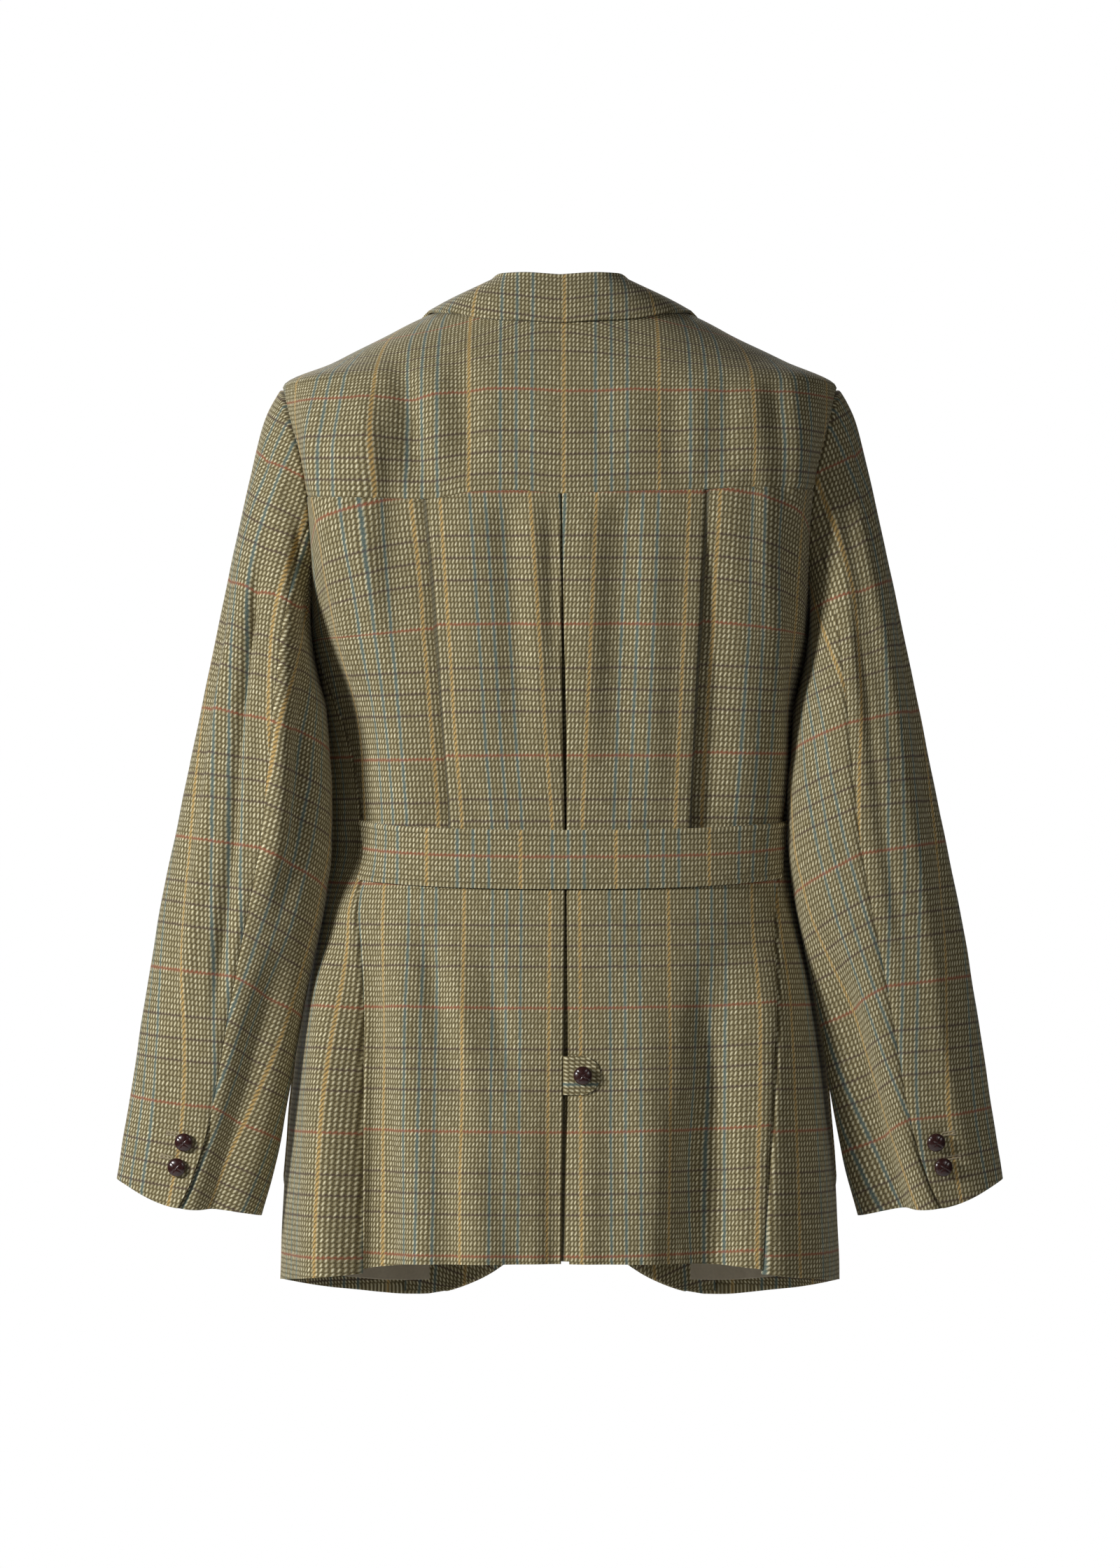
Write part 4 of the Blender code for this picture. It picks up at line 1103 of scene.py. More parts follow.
def collar_points(turn, step):
    """The collar: turn from -1 to 1 round the neck, step from the stand's foot to the fall's edge."""
    side = np.where(turn < 0, -1.0, 1.0)
    turn = np.abs(turn)
    fold = stacked(*[COLLAR("fold_" + axis, turn) for axis in "xyz"])
    foot = stacked(*[COLLAR("foot_" + axis, turn) for axis in "xyz"])
    edge = body_point(np.radians(COLLAR("edge_degrees", turn)), COLLAR("edge_z", turn), COLLAR_OUT)
    outward = unit(fold * np.array((1.0, 1.0, 0.0)))
    inner = fold - COLLAR_BEND * outward - 0.0030 * UP
    outer = fold + COLLAR_BEND * outward - 0.0022 * UP
    stand = mix(foot, inner, np.clip(step / 2, 0, 1)[..., None])
    around = (np.clip((step - 2) / 2, 0, 1) * np.pi)[..., None]
    bow = fold - 0.0026 * UP + COLLAR_BEND * (1.2 * np.sin(around) * UP - np.cos(around) * outward)
    along = np.clip((step - 4) / 3, 0, 1)[..., None]
    bulge = COLLAR_BULGE * np.sin(np.pi * along)
    fall = mix(outer, edge, along) + bulge * (0.6 * outward + 0.8 * UP)
    point = np.where((step <= 2)[..., None], stand, np.where((step < 4)[..., None], bow, fall))
    return point * stacked(side, 1.0, 1.0)


def sew_collar():
    stand = np.linspace(0, 2, 10)[:-1]
    bow = np.linspace(2, 4, 9)[:-1]
    fall = 4 + 3 * dense_ends(22, 0.5)
    steps = np.concatenate((stand, bow, fall))
    turn, step = np.broadcast_arrays(np.linspace(-1, 1, 121)[:, None], steps[None, :])
    points = collar_points(turn, step)
    middle = turn.shape[0] // 2
    u = lengths(points, 0)
    v = -from_column(lengths(points, 1), COLLAR_FOLD_COLUMN)
    uv = check_uv(u - u[middle:middle + 1], v, "collar")
    double = bpy.context.scene.jacket_sizes.double_cloth
    sew("collar", points[:, ::-1], uv[:, ::-1], "tweed", double)


def front_edge_x(side, z):
    """The front edge's place, measured from the centre line towards its own side."""
    swing = HEM_SWING * ease((HEM_SWING_TOP_Z - z) / HEM_SWING_HEIGHT)
    return -EDGE("past_centre", z) - side * swing


def edge_angle(x, z):
    """The angle on the front at a distance from the centre line, past 180 degrees beyond it."""
    return np.where(x > 0, front_angle(np.abs(x), z), math.pi + back_angle(np.abs(x), z))


def front_points(side, angle, z, out=0.0, creased=True):
    """Points of a front, moved out from its surface; the right one runs below near the centre."""
    angle, z = np.broadcast_arrays(angle, z)
    tuck = 0.0
    if side < 0:
        x = BODY("half_width", z) * np.sin(angle)
        tuck = FRONT_TUCK * ease(1 - (x - FRONT_TUCK_FROM_X) / FRONT_TUCK_WIDTH)
        tuck = tuck * ease((FRONT_TUCK_TOP_Z - z) / FRONT_TUCK_HEIGHT)
    return body_point(angle, z, out - tuck, side, creased) * np.array((side, 1.0, 1.0))


def around_front(angle, z):
    """Distance round the body at one height, from a place to the centre front."""
    steps = mix(angle[..., None], math.pi, np.linspace(0, 1, 25))
    path = body_surface(steps, z[..., None])
    return lengths(path, 2)[..., -1] * np.sign(math.pi - angle)


def sew_front(side, name):
    share = dense_ends(101)[None, :]
    hem_share = (np.linspace(0, 1, 84) ** 1.15)[:-1, None]
    hem_rows = mix(HEM("height", mix(48.0, 152.0, share)), WAIST_Z, hem_share)
    low = np.linspace(WAIST_Z, ARMPIT_Z, 44)[:-1]
    high = armhole_levels(180, 0, 50)
    top = np.linspace(SHOULDER_TIP_Z, FRONT_TOP_Z, 24)[1:]
    levels = np.concatenate((low, high, top))[:, None]
    z = np.concatenate((hem_rows, np.repeat(levels, share.shape[1], axis=1)))
    start = front_limit(z, side) + seam_share(z)
    angle = mix(start, edge_angle(front_edge_x(side, z), z), share)
    flat = front_points(side, angle, z, 0.0, False)
    dip = edge_dips(flat, "left") + side_seam_ditch(lengths(flat, 1)) * (z < ARMPIT_Z)
    points = front_points(side, angle, z, dip)
    side_girth = around_front(np.full(z.shape, math.pi / 2), np.minimum(z, ARMPIT_Z))
    from_side = side_girth - around_front(angle, z)
    behind = np.maximum(around_front(start, z) - side_girth, 0.02)
    stretch_behind = mix(1.0, SIDE_GRAIN_WIDTH / behind, 0.6)
    stretch = np.where(from_side > 0, FRONT_GRAIN_WIDTH / side_girth, stretch_behind)
    u = FRONT_SIDE_GRAIN + from_side * stretch
    rise = lengths(flat, 0)[:, FRONT_GRAIN_COLUMN]
    v = np.interp(z, z[:, FRONT_GRAIN_COLUMN], rise - rise[len(hem_rows)])
    uv = check_uv(u, v, "front") * np.array((side, 1.0))
    sew("front_" + name, points, uv, "tweed")


def sew_lapel(side, name):
    foot = LAPEL_FOOT_Z if side > 0 else CROSSING_Z
    share = dense_ends(31, 0.6)[None, :]
    level = np.linspace(0, 1, 70)[:, None]
    z = mix(foot, LAPEL_TOP_Z - LAPEL_POINT_DROP * share, level)
    width = LAPEL_FOOT_WIDTH + LAPEL_WIDTH * np.sin(math.pi / 2 * level ** 0.8)
    x = front_edge_x(side, z) - LAPEL_PAST_EDGE + share * width
    roll = LAPEL_ROLL * np.sin(math.pi * share) ** 2 * ease(level * 2)
    out = mix(LAPEL_EDGE_OUT, LAPEL_OUT, ease(share / 0.06)) + roll
    points = front_points(side, edge_angle(x, z), z, out)
    uv = check_uv(-lengths(points, 1), lengths(points, 0), "front") * np.array((side, 1.0))
    sew("lapel_" + name, points, uv, "tweed")


def sew_facing(side, name):
    share = np.linspace(0, 1, 41)[None, :]
    z = mix(FACING_HEM_Z, FACING_TOP_Z, np.linspace(0, 1, 90)[:, None] ** 1.3)
    back = mix(FACING_HEM_X, FACING_TOP_X, (z - FACING_HEM_Z) / (FACING_TOP_Z - FACING_HEM_Z))
    x = mix(back, front_edge_x(side, z) + FACING_INSET, share)
    out = -mix(FACING_IN, FACING_EDGE_IN, ease((share - 0.9) / 0.1))
    points = front_points(side, edge_angle(x, z), z, out)
    uv = check_uv(lengths(points, 1), lengths(points, 0), "front")
    sew("facing_" + name, points, uv, "tweed")


def sew_lining(side, name):
    share = np.linspace(0, 1, 61)[None, :]
    level = dense_ends(60)[:, None]
    angle = mix(math.radians(LINING_SIDE_DEG), front_angle(LINING_FRONT_X, LINING_FRONT_Z), share)
    z = mix(HEM("height", np.degrees(angle)) + LINING_LIFT, LINING_TOP_Z, level)
    sag = LINING_RIPPLE * np.sin(angle * 60) * ease(1 - level * 3)
    points = front_points(side, angle, z, sag - LINING_IN)
    uv = stacked(lengths(points, 1), lengths(points, 0))
    thickness = bpy.context.scene.jacket_sizes.lining
    sew("lining_" + name, points, uv, "lining", thickness)


def sew_pocket(side, name):
    inset_stitch = bpy.context.scene.jacket_sizes.topstitch
    share = dense_ends(61)[None, :]
    level = dense_ends(61, 0.7)[:, None]
    middle = (POCKET_TOP_Z + POCKET_BOTTOM_Z) / 2
    from_end = POCKET_WIDTH * np.minimum(share, 1 - share)
    corner = np.clip((POCKET_CORNER - from_end) / POCKET_CORNER, 0.0, 1.0)
    lift = POCKET_CORNER * (1 - np.sqrt(1 - corner ** 2)) * 0.8
    z = mix(POCKET_BOTTOM_Z + lift, POCKET_TOP_Z, level)
    angle = mix(math.radians(POCKET_BACK_DEG), front_angle(POCKET_FRONT_X, middle), share)
    flat = front_points(side, angle, z, POCKET_OUT)
    across = lengths(flat, 1)
    along = lengths(flat, 0)
    inset = np.minimum(np.minimum(across, across[:, -1:] - across), along)
    groove = STITCH_GROOVE * hump(inset - inset_stitch, STITCH_GROOVE_REACH)
    roll = POCKET_EDGE_ROLL * hump(inset, POCKET_ROLL_REACH)
    belly = POCKET_BELLY * np.sin(math.pi * share) * np.sin(math.pi * np.minimum(1.0, level * 1.1))
    points = front_points(side, angle, z, POCKET_OUT - groove - roll + belly)
    uv = check_uv(across + POCKET_GRAIN_ACROSS, along - POCKET_GRAIN_DOWN, "front") * np.array((side, 1.0))
    sew("pocket_" + name, points, uv, "tweed")
    inner = inset_stitch / POCKET_WIDTH
    down = np.linspace(0.97, 0.06, 40)
    path = [(inner, t) for t in down]
    path += [(s, 0.0) for s in np.linspace(inner, 1 - inner, 40)]
    path += [(1 - inner, t) for t in down[::-1]]
    line = []
    for s, t in path:
        column = int(np.argmin(np.abs(share[0] - s)))
        line.append(on_column(points, along, column, max(t * along[-1, column], inset_stitch)))
    STITCH_LINES.append(lifted(np.array(line), points, STITCH_OUT * side))


def armhole_points(turn):
    """Points of the left armhole: turn 0 is the shoulder tip, 90 degrees the back."""
    z = ARMHOLE_Z + ARMHOLE_HALF_HEIGHT * np.cos(turn)
    y = ARMHOLE_HALF_DEPTH * np.sin(turn)
    depth = np.where(y >= 0, BODY("back_depth", z), BODY("front_depth", z))
    power = BODY("squareness", z)
    x = BODY("half_width", z) * (1 - np.minimum(1.0, np.abs(y) / depth) ** power) ** (1 / power)
    return stacked(x, y, z)


def sleeve_relief(turn, station, side):
    """Folds and creases of one sleeve, in metres along the spoke."""
    degrees = np.degrees(turn)
    total = np.zeros(np.broadcast(turn, station).shape)
    for fold in named_rows(SLEEVE_FOLD_COLUMNS, SLEEVE_FOLDS):
        along = (station - fold["station_from"]) / (fold["station_to"] - fold["station_from"])
        centre = mix(fold["degrees_from"], fold["degrees_to"], along)
        across = 1 - np.abs(degrees - centre) / fold["half_degrees"]
        total = total + fold["depth"] * np.sin(np.pi * np.clip(along, 0, 1)) * ease(across)
    scale = [STATION_MM if "station" in name else 1.0 for name in SLEEVE_CREASE_COLUMNS]
    rows = np.array(SLEEVE_CREASES[SIDE_NAMES[side]]) * scale
    strength = bpy.context.scene.jacket_sizes.creases
    creases = crease_height(rows, degrees, station * STATION_MM)
    return total + strength * creases / 1000 + ripple(degrees / 1000 + side, station * 0.05)


def sleeve_ends(station):
    """The outer and the inner end of the arm's oval at a station."""
    names = ("outer", "inner")
    return [stacked(SLEEVE(name + "_x", station), 0.0, SLEEVE(name + "_z", station)) for name in names]


def sleeve_oval(turn, station, relief):
    """Points of the arm's plain oval, moved out along its spokes."""
    outer, inner = sleeve_ends(station)
    centre = (outer + inner) / 2 + stacked(0.0, SLEEVE("centre_y", station), 0.0)
    depth = stacked(0.0, SLEEVE("half_depth", station), 0.0)
    spoke = (outer - inner) / 2 * np.cos(turn)[..., None] + depth * np.sin(turn)[..., None]
    reach = np.linalg.norm(spoke, axis=-1, keepdims=True)
    return centre + spoke * (1 + relief[..., None] / reach)


def sleeve_points(turn, station, side, out=0.0, creased=True):
    """Points of a sleeve: turn 0 is the outside of the arm, 90 degrees its back."""
    turn, station = np.broadcast_arrays(np.asarray(turn, float), np.asarray(station, float))
    relief = creased * sleeve_relief(turn, station, side) * ease(station / 0.6) + out
    clear = SLEEVE_CLEARANCE + ARMPIT_CLEARANCE * (1 - np.cos(turn)) / 2
    armhole = armhole_points(turn)
    plain = sleeve_oval(turn, 0 * station, 0 * relief)
    keep = (1 - ease(station / SLEEVE_BLEND_STATION))[..., None]
    point = sleeve_oval(turn, station, relief) + keep * (armhole + stacked(clear, 0.0, 0.0) - plain)
    tuck = HEAD_TUCK * unit((armhole - ARMHOLE_Z * UP) * np.array((0.0, 1.0, 1.0)))
    inward = -tuck - stacked(clear + HEAD_SINK, 0.0, 0.0)
    point = point + inward * hump(station, HEAD_TUCK_STATIONS)[..., None]
    drop = ease(station - CUFF_DROP_STATION)
    drop = CUFF_DROP * drop * hump(np.degrees(turn) - CUFF_DROP_AT_DEG, CUFF_DROP_REACH_DEG)
    return (point - drop[..., None] * UP) * np.array((side, 1.0, 1.0))


def sleeve_turn(part, share, station):
    """The turn of a sleeve half's column; the cuff vent spreads its hind edge."""
    hind = HIND("degrees", station)
    gap = np.degrees(0.5 * SLEEVE_SEAM_GAP / SLEEVE("half_depth", station))
    lap = HIND_LAP_DEG + CUFF_VENT_OVERLAP_DEG * ease((station - CUFF_VENT_STATION) / CUFF_VENT_FADE)
    if part == "top":
        return np.radians(mix(FRONT_ARM_SEAM_DEG + gap, hind - gap, share))
    return np.radians(mix(hind + gap - lap, 360 + FRONT_ARM_SEAM_DEG - gap, share))


def at_turn(turn, values, degrees):
    """The value in each row of a sleeve's grid at one turn."""
    return np.array([np.interp(math.radians(degrees), *row) for row in zip(turn, values)])[:, None]


def sleeve_uv(points, turn, station, part, side):
    """Cloth coordinates of a sleeve half: rows square to the arm's hang, then leaned as it is cut."""
    points = points * np.array((side, 1.0, 1.0))
    outer, inner = sleeve_ends(station)
    centre = (outer + inner) / 2
    centre[..., 1] = SLEEVE("centre_y", station)
    run = np.diff(centre, axis=0, append=2 * centre[-1:] - centre[-2:-1])
    steps = np.linalg.norm(run, axis=-1)
    hang = math.radians(SLEEVE_HANG_DEG)
    straight_down = np.array((math.sin(hang), 0.0, -math.cos(hang)))
    sideways = np.array((math.cos(hang), 0.0, math.sin(hang)))
    line = unit(mix(straight_down, unit(run), ease((station - HANG_STATION) / HANG_FADE)[..., None]))
    fall = line * steps[..., None]
    axis = centre[-1:] - np.cumsum(fall[::-1], axis=0)[::-1] + fall[-1:]
    down = np.cumsum(steps, axis=0)
    away = points - axis
    along = (away * line).sum(axis=-1)
    around = lengths(away - along[..., None] * line, 1)
    from_seam = around - at_turn(turn, around, HIND_DEG)
    u = around - at_turn(turn, around, 0.0) if part == "top" else from_seam
    below_head = np.argmin(np.abs(station[:, 0] - SLEEVE_BLEND_STATION))
    outward = (points - centre[below_head]) @ sideways
    middle_y = np.interp(points[..., 2], centre[::-1, 0, 2], centre[::-1, 0, 1])
    bearing = np.arctan2(points[..., 1] - middle_y, outward)
    if part == "under":
        bearing = bearing % (2 * math.pi) - math.radians(HIND_DEG)
    u = mix(SLEEVE_HEAD_RADIUS * bearing, u, ease((station - HEAD_GRAIN_STATION) / HEAD_GRAIN_FADE))
    lean = np.tan(np.radians(GRAIN(part + "_columns", station)))
    travel = np.cumsum(lean * steps, axis=0)
    slope = np.tan(np.radians(GRAIN(part + "_rows", station)))
    v = down[-1:] - down - along + slope * from_seam
    v = v + UPPER_ARM_EASE * np.maximum(0.0, v - UPPER_ARM_FROM)
    return check_uv(u + travel - travel[-1:], v, f"{part}_sleeve_{SIDE_NAMES[side]}")


def sew_sleeve(side, name, part):
    hind_edge, fore_edge, count = ("right", "left", 77) if part == "top" else ("left", "right", 57)
    share = dense_ends(count)[None, :]
    station = np.concatenate((HEAD_STATIONS, np.linspace(0.36, 13, 165)))[:, None]
    turn = sleeve_turn(part, share, station)
    flat = sleeve_points(turn, station, side, 0.0, False)
    vent = ease((station - CUFF_OPEN_STATION) / CUFF_OPEN_FADE)
    past_seam = np.degrees(turn) - HIND("degrees", station)
    if part == "under":
        below = ease((HIND_LAP_END_DEG - past_seam) / HIND_LAP_FADE_DEG)
        vent_form = -mix(HIND_LAP, CUFF_VENT_LAP, vent) * below
    else:
        vent_form = CUFF_VENT_EDGE_LIFT * hump(past_seam, CUFF_VENT_EDGE_DEG) * vent
    dip = edge_dips(flat, hind_edge) * (1 - vent) + vent_form + edge_dips(flat, fore_edge)
    points = sleeve_points(turn, station, side, dip)
    uv = sleeve_uv(flat, turn, station, part, side) * np.array((-side, 1.0))
    sew(f"{part}_sleeve_{name}", points, uv, "tweed")


def leather_button(name, radius, seat, outward):
    """A flattened ball covered with crossing strips of leather, its short axis along outward."""
    outward = unit(np.array(outward, float))
    side = unit(np.cross(outward, UP))
    upward = np.cross(side, outward)
    rings = np.sin(np.linspace(0, math.pi / 2, 26))
    spin = np.linspace(0, 2 * math.pi, 65)
    r, a = np.meshgrid(np.concatenate((rings, rings[-2::-1])), spin, indexing="ij")
    top = np.concatenate((np.ones(len(rings)), -np.ones(len(rings) - 1)))[:, None]
    x = r * np.cos(a) * radius
    y = r * np.sin(a) * radius
    strip = LEATHER_STRIP * radius / CUFF_BUTTON_RADIUS
    turned_x = (0.80 * x + 0.60 * y) / strip + 0.5
    turned_y = (0.80 * y - 0.60 * x) / strip + 0.5
    cell_x = turned_x - np.round(turned_x)
    cell_y = turned_y - np.round(turned_y)
    over = (np.round(turned_x) + np.round(turned_y)) % 2 == 0
    across = np.where(over, cell_y, cell_x)
    along = np.where(over, cell_x, cell_y)
    crown = (1 - (2 * across) ** 6) * (1 - 0.8 * (2 * along) ** 10)
    dome = np.sqrt(np.maximum(0.0, 1 - r * r))
    height = BUTTON_HALF_THICKNESS * dome * top
    crown = LEATHER_CROWN * (crown - 0.75) * np.minimum(1.0, 1.6 * dome)
    height = height + np.where(top > 0, crown, 0.0)
    centre = seat + outward * (BUTTON_HALF_THICKNESS + SEAM_GAP)
    points = centre + side * x[..., None] + upward * y[..., None] + outward * height[..., None]
    mesh = cloth_mesh(name + "_leather", points, stacked(x, y))
    mesh.materials.append(bpy.data.materials["leather"])
    weld(mesh)
    attach(new_object(name + "_leather", mesh), name)


def weld(mesh):
    """Joins the points that lie on each other and turns the faces outwards."""
    work = bmesh.new()
    work.from_mesh(mesh)
    bmesh.ops.remove_doubles(work, verts=work.verts, dist=0.000005)
    bmesh.ops.recalc_face_normals(work, faces=work.faces)
    work.to_mesh(mesh)
    work.free()


def cuff_place(side, share, station, out):
    """A place on the top sleeve near the cuff vent, with the outward direction there."""
    station = np.array([station])
    turn = sleeve_turn("top", np.array([share]), station)

    def place(turn_step=0.0, station_step=0.0):
        return sleeve_points(turn + turn_step, station + station_step, side)[0]

    around = place(turn_step=0.02) - place(turn_step=-0.02)
    along = place(station_step=0.05) - place(station_step=-0.05)
    outward = unit(np.cross(around, along))
    outward = outward * math.copysign(1.0, outward[1])
    return place() + outward * out, outward


def sew_buttons():
    half = bpy.context.scene.jacket_sizes.cloth / 2
    seat = tab_point(np.array([VENT_BUTTON_SHARE]), np.array([0.0]), half)[0]
    leather_button("vent_button", CUFF_BUTTON_RADIUS, seat, (0.0, 1.0, 0.0))
    for side, name in SIDES:
        for order, station in CUFF_BUTTON_STATIONS:
            seat, outward = cuff_place(side, CUFF_BUTTON_SHARE, station, half)
            leather_button(f"cuff_button_{order}_{name}", CUFF_BUTTON_RADIUS, seat, outward)
            above = station - BUTTONHOLE_STATIONS_UP
            ends = [cuff_place(side, share, above, BUTTONHOLE_OUT)[0] for share in BUTTONHOLE_SHARES]
            THREAD_BARS.append(ends)
    for order, z in FRONT_BUTTON_HEIGHTS:
        seat = body_surface(math.pi, z) + np.array((0.0, -half, 0.0))
        leather_button(f"front_button_{order}", FRONT_BUTTON_RADIUS, seat, (0.0, -1.0, 0.0))


def set_input(tree, socket, value):
    if isinstance(value, bpy.types.NodeSocket):
        tree.links.new(value, socket)
    else:
        socket.default_value = value


def add_node(tree, kind, **settings):
    node = tree.nodes.new(kind)
    for name, value in settings.items():
        setattr(node, name, value)
    return node


def link_all(tree, *pairs):
    for start, end in pairs:
        tree.links.new(start, end)


def add_sockets(tree, in_out, kind, *names):
    """New sockets of one kind on a group; gives back their identifiers under their names."""
    made = {}
    for name in names:
        socket = tree.interface.new_socket(name, in_out=in_out, socket_type="NodeSocket" + kind)
        made[name] = socket.identifier
    return made


def calculate(tree, operation, *values, clamp=False):
    """A math node in a shader tree; values are numbers or sockets."""
    node = add_node(tree, "ShaderNodeMath", operation=operation, use_clamp=clamp)
    for socket, value in zip(node.inputs, values):
        set_input(tree, socket, value)
    return node.outputs[0]


def blend(tree, share, first, second, mode="MIX"):
    """A colour between two, or one laid on the other."""
    node = add_node(tree, "ShaderNodeMix", data_type="RGBA", blend_type=mode)
    set_input(tree, node.inputs[0], share)
    set_input(tree, node.inputs[6], first)
    set_input(tree, node.inputs[7], second)
    return node.outputs[2]


def band(tree, distance, half_width, softness):
    """1 within a half width of a line, with a soft edge."""
    gap = calculate(tree, "SUBTRACT", half_width, distance)
    return calculate(tree, "MULTIPLY_ADD", gap, 1 / softness, 0.5, clamp=True)


def triple_lines(tree, place):
    """Distance, in marks, from the nearest of the three lines in the middle of the repeat."""
    side = calculate(tree, "ABSOLUTE", calculate(tree, "SUBTRACT", place, CHECK_MARKS / 2))
    outer = calculate(tree, "ABSOLUTE", calculate(tree, "SUBTRACT", side, CHECK_MARKS / 6))
    return calculate(tree, "MINIMUM", side, outer)


TWEED_COLOURS = ("cream", "ground", "gap", "gold", "gold_shade", "teal", "red", "plum")


def cloth_noise(tree, place, scale):
    noise = add_node(tree, "ShaderNodeTexNoise", noise_dimensions="2D")
    noise.inputs["Scale"].default_value = scale
    noise.inputs["Detail"].default_value = 3.0
    tree.links.new(place, noise.inputs["Vector"])
    return noise


def tweed_group():
    """Pale slanted marks on olive, with a check of gold, teal, red and plum lines."""
    tree = bpy.data.node_groups.new("tweed weave", "ShaderNodeTree")
    add_sockets(tree, "INPUT", "Vector", "Cloth")
    add_sockets(tree, "INPUT", "Color", *TWEED_COLOURS)
    add_sockets(tree, "OUTPUT", "Color", "Colour")
    add_sockets(tree, "OUTPUT", "Float", "Height")
    given = add_node(tree, "NodeGroupInput")
    result = add_node(tree, "NodeGroupOutput")
    colours = given.outputs
    place = given.outputs["Cloth"]
    do = partial(calculate, tree)
    paint = partial(blend, tree)

    waver = cloth_noise(tree, place, 180.0)
    split = add_node(tree, "ShaderNodeSeparateXYZ")
    drift = add_node(tree, "ShaderNodeSeparateColor")
    link_all(tree, (place, split.inputs[0]), (waver.outputs["Color"], drift.inputs[0]))

    def marks(coordinate, wander, size):
        shifted = do("MULTIPLY_ADD", do("SUBTRACT", wander, 0.5), 0.0011, coordinate)
        return do("MULTIPLY", shifted, CHECK_MARKS / size)

    across = marks(split.outputs["X"], drift.outputs["Red"], CHECK_WIDTH)
    along = marks(split.outputs["Y"], drift.outputs["Green"], CHECK_HEIGHT)
    row = do("SUBTRACT", do("FRACT", along), 0.5)
    slanted = do("MULTIPLY_ADD", row, 0.42, across)
    column_away = do("ABSOLUTE", do("SUBTRACT", do("FRACT", slanted), 0.5))
    row_away = do("ABSOLUTE", row)
    wide = do("POWER", do("DIVIDE", column_away, 0.175), 2.0)
    tall = do("POWER", do("DIVIDE", row_away, 0.345), 2.0)
    fuzz = cloth_noise(tree, place, 900.0).outputs[0]
    far = do("POWER", do("ADD", wide, tall), 0.5)
    far = do("MULTIPLY_ADD", do("SUBTRACT", fuzz, 0.5), 1.3, far)
    shape = band(tree, far, 1.0, 0.80)

    cell = add_node(tree, "ShaderNodeCombineXYZ")
    chance = add_node(tree, "ShaderNodeTexWhiteNoise", noise_dimensions="2D")
    link_all(
        tree,
        (do("FLOOR", slanted), cell.inputs[0]),
        (do("FLOOR", along), cell.inputs[1]),
        (cell.outputs[0], chance.inputs["Vector"]),
    )
    mark = do("MULTIPLY", shape, do("MULTIPLY_ADD", chance.outputs["Value"], 0.60, 0.42))

    wave = do("SINE", do("MULTIPLY", do("ADD", across, along), 2 * math.pi))
    twill = do("MULTIPLY_ADD", wave, 0.5, 0.5)
    row_gap = do("MULTIPLY_ADD", do("SUBTRACT", row_away, 0.38), 5.0, 0.5, clamp=True)
    column_gap = do("MULTIPLY_ADD", do("SUBTRACT", column_away, 0.37), 5.0, 0.5, clamp=True)
    gap = do("MULTIPLY_ADD", row_gap, 0.35, do("MULTIPLY", column_gap, 0.80), clamp=True)

    def from_repeat(place_in_repeat):
        """Distance, in marks, from the line where the repeat begins."""
        return do("MINIMUM", place_in_repeat, do("SUBTRACT", float(CHECK_MARKS), place_in_repeat))

    row_place = do("FLOORED_MODULO", along, float(CHECK_MARKS))
    column_place = do("FLOORED_MODULO", across, float(CHECK_MARKS))
    plum = band(tree, triple_lines(tree, row_place), 0.30, 0.34)
    red = band(tree, from_repeat(row_place), 0.30, 0.34)
    teal = band(tree, triple_lines(tree, column_place), 0.42, 0.40)
    gold = band(tree, from_repeat(column_place), 0.42, 0.34)

    cloth = paint(gap, colours["ground"], colours["gap"])
    cloth = paint(do("MULTIPLY", teal, 0.55), cloth, colours["teal"])
    cloth = paint(mark, cloth, colours["cream"])
    cloth = paint(do("MULTIPLY", teal, 0.18), cloth, colours["teal"])
    open_share = do("MULTIPLY_ADD", shape, -0.75, 1.0)
    for line, name, twilled, plain in ((plum, "plum", 0.50, 0.20), (red, "red", 0.40, 0.30)):
        dashes = do("MULTIPLY", do("MULTIPLY_ADD", twill, twilled, plain), open_share)
        cloth = paint(do("MULTIPLY", line, dashes), cloth, colours[name])
    rope = do("MULTIPLY", gold, do("MULTIPLY_ADD", twill, 0.20, 0.70))
    cloth = paint(rope, cloth, paint(twill, colours["gold_shade"], colours["gold"]))

    shade = do("MULTIPLY_ADD", fuzz, 1.30, 0.35)
    grey = add_node(tree, "ShaderNodeCombineColor")
    link_all(tree, *[(shade, socket) for socket in grey.inputs[:3]])
    raised = do("MULTIPLY_ADD", twill, 0.25, do("MULTIPLY", mark, 0.6))
    raised = do("MULTIPLY_ADD", gap, -0.35, raised)
    link_all(
        tree,
        (paint(1.0, cloth, grey.outputs[0], "MULTIPLY"), result.inputs["Colour"]),
        (do("MULTIPLY_ADD", fuzz, 0.5, raised), result.inputs["Height"]),
    )
    return tree


def grain_group():
    """Uneven grain: a mask from 0 to 1 at a given scale."""
    tree = bpy.data.node_groups.new("uneven grain", "ShaderNodeTree")
    add_sockets(tree, "INPUT", "Vector", "Place")
    add_sockets(tree, "INPUT", "Float", "Scale")
    add_sockets(tree, "OUTPUT", "Float", "Mask")
    given = add_node(tree, "NodeGroupInput")
    result = add_node(tree, "NodeGroupOutput")
    noise = add_node(tree, "ShaderNodeTexNoise")
    noise.inputs["Detail"].default_value = 4.0
    link_all(
        tree,
        (given.outputs["Place"], noise.inputs["Vector"]),
        (given.outputs["Scale"], noise.inputs["Scale"]),
        (noise.outputs[0], result.inputs["Mask"]),
    )
    return tree


def new_material(name, **values):
    """A new material; values are its shader's inputs, with underscores for spaces."""
    made = bpy.data.materials.new(name)
    made.use_nodes = True
    shader = made.node_tree.nodes["Principled BSDF"]
    for socket, value in values.items():
        shader.inputs[socket.replace("_", " ")].default_value = value
    return made.node_tree, shader


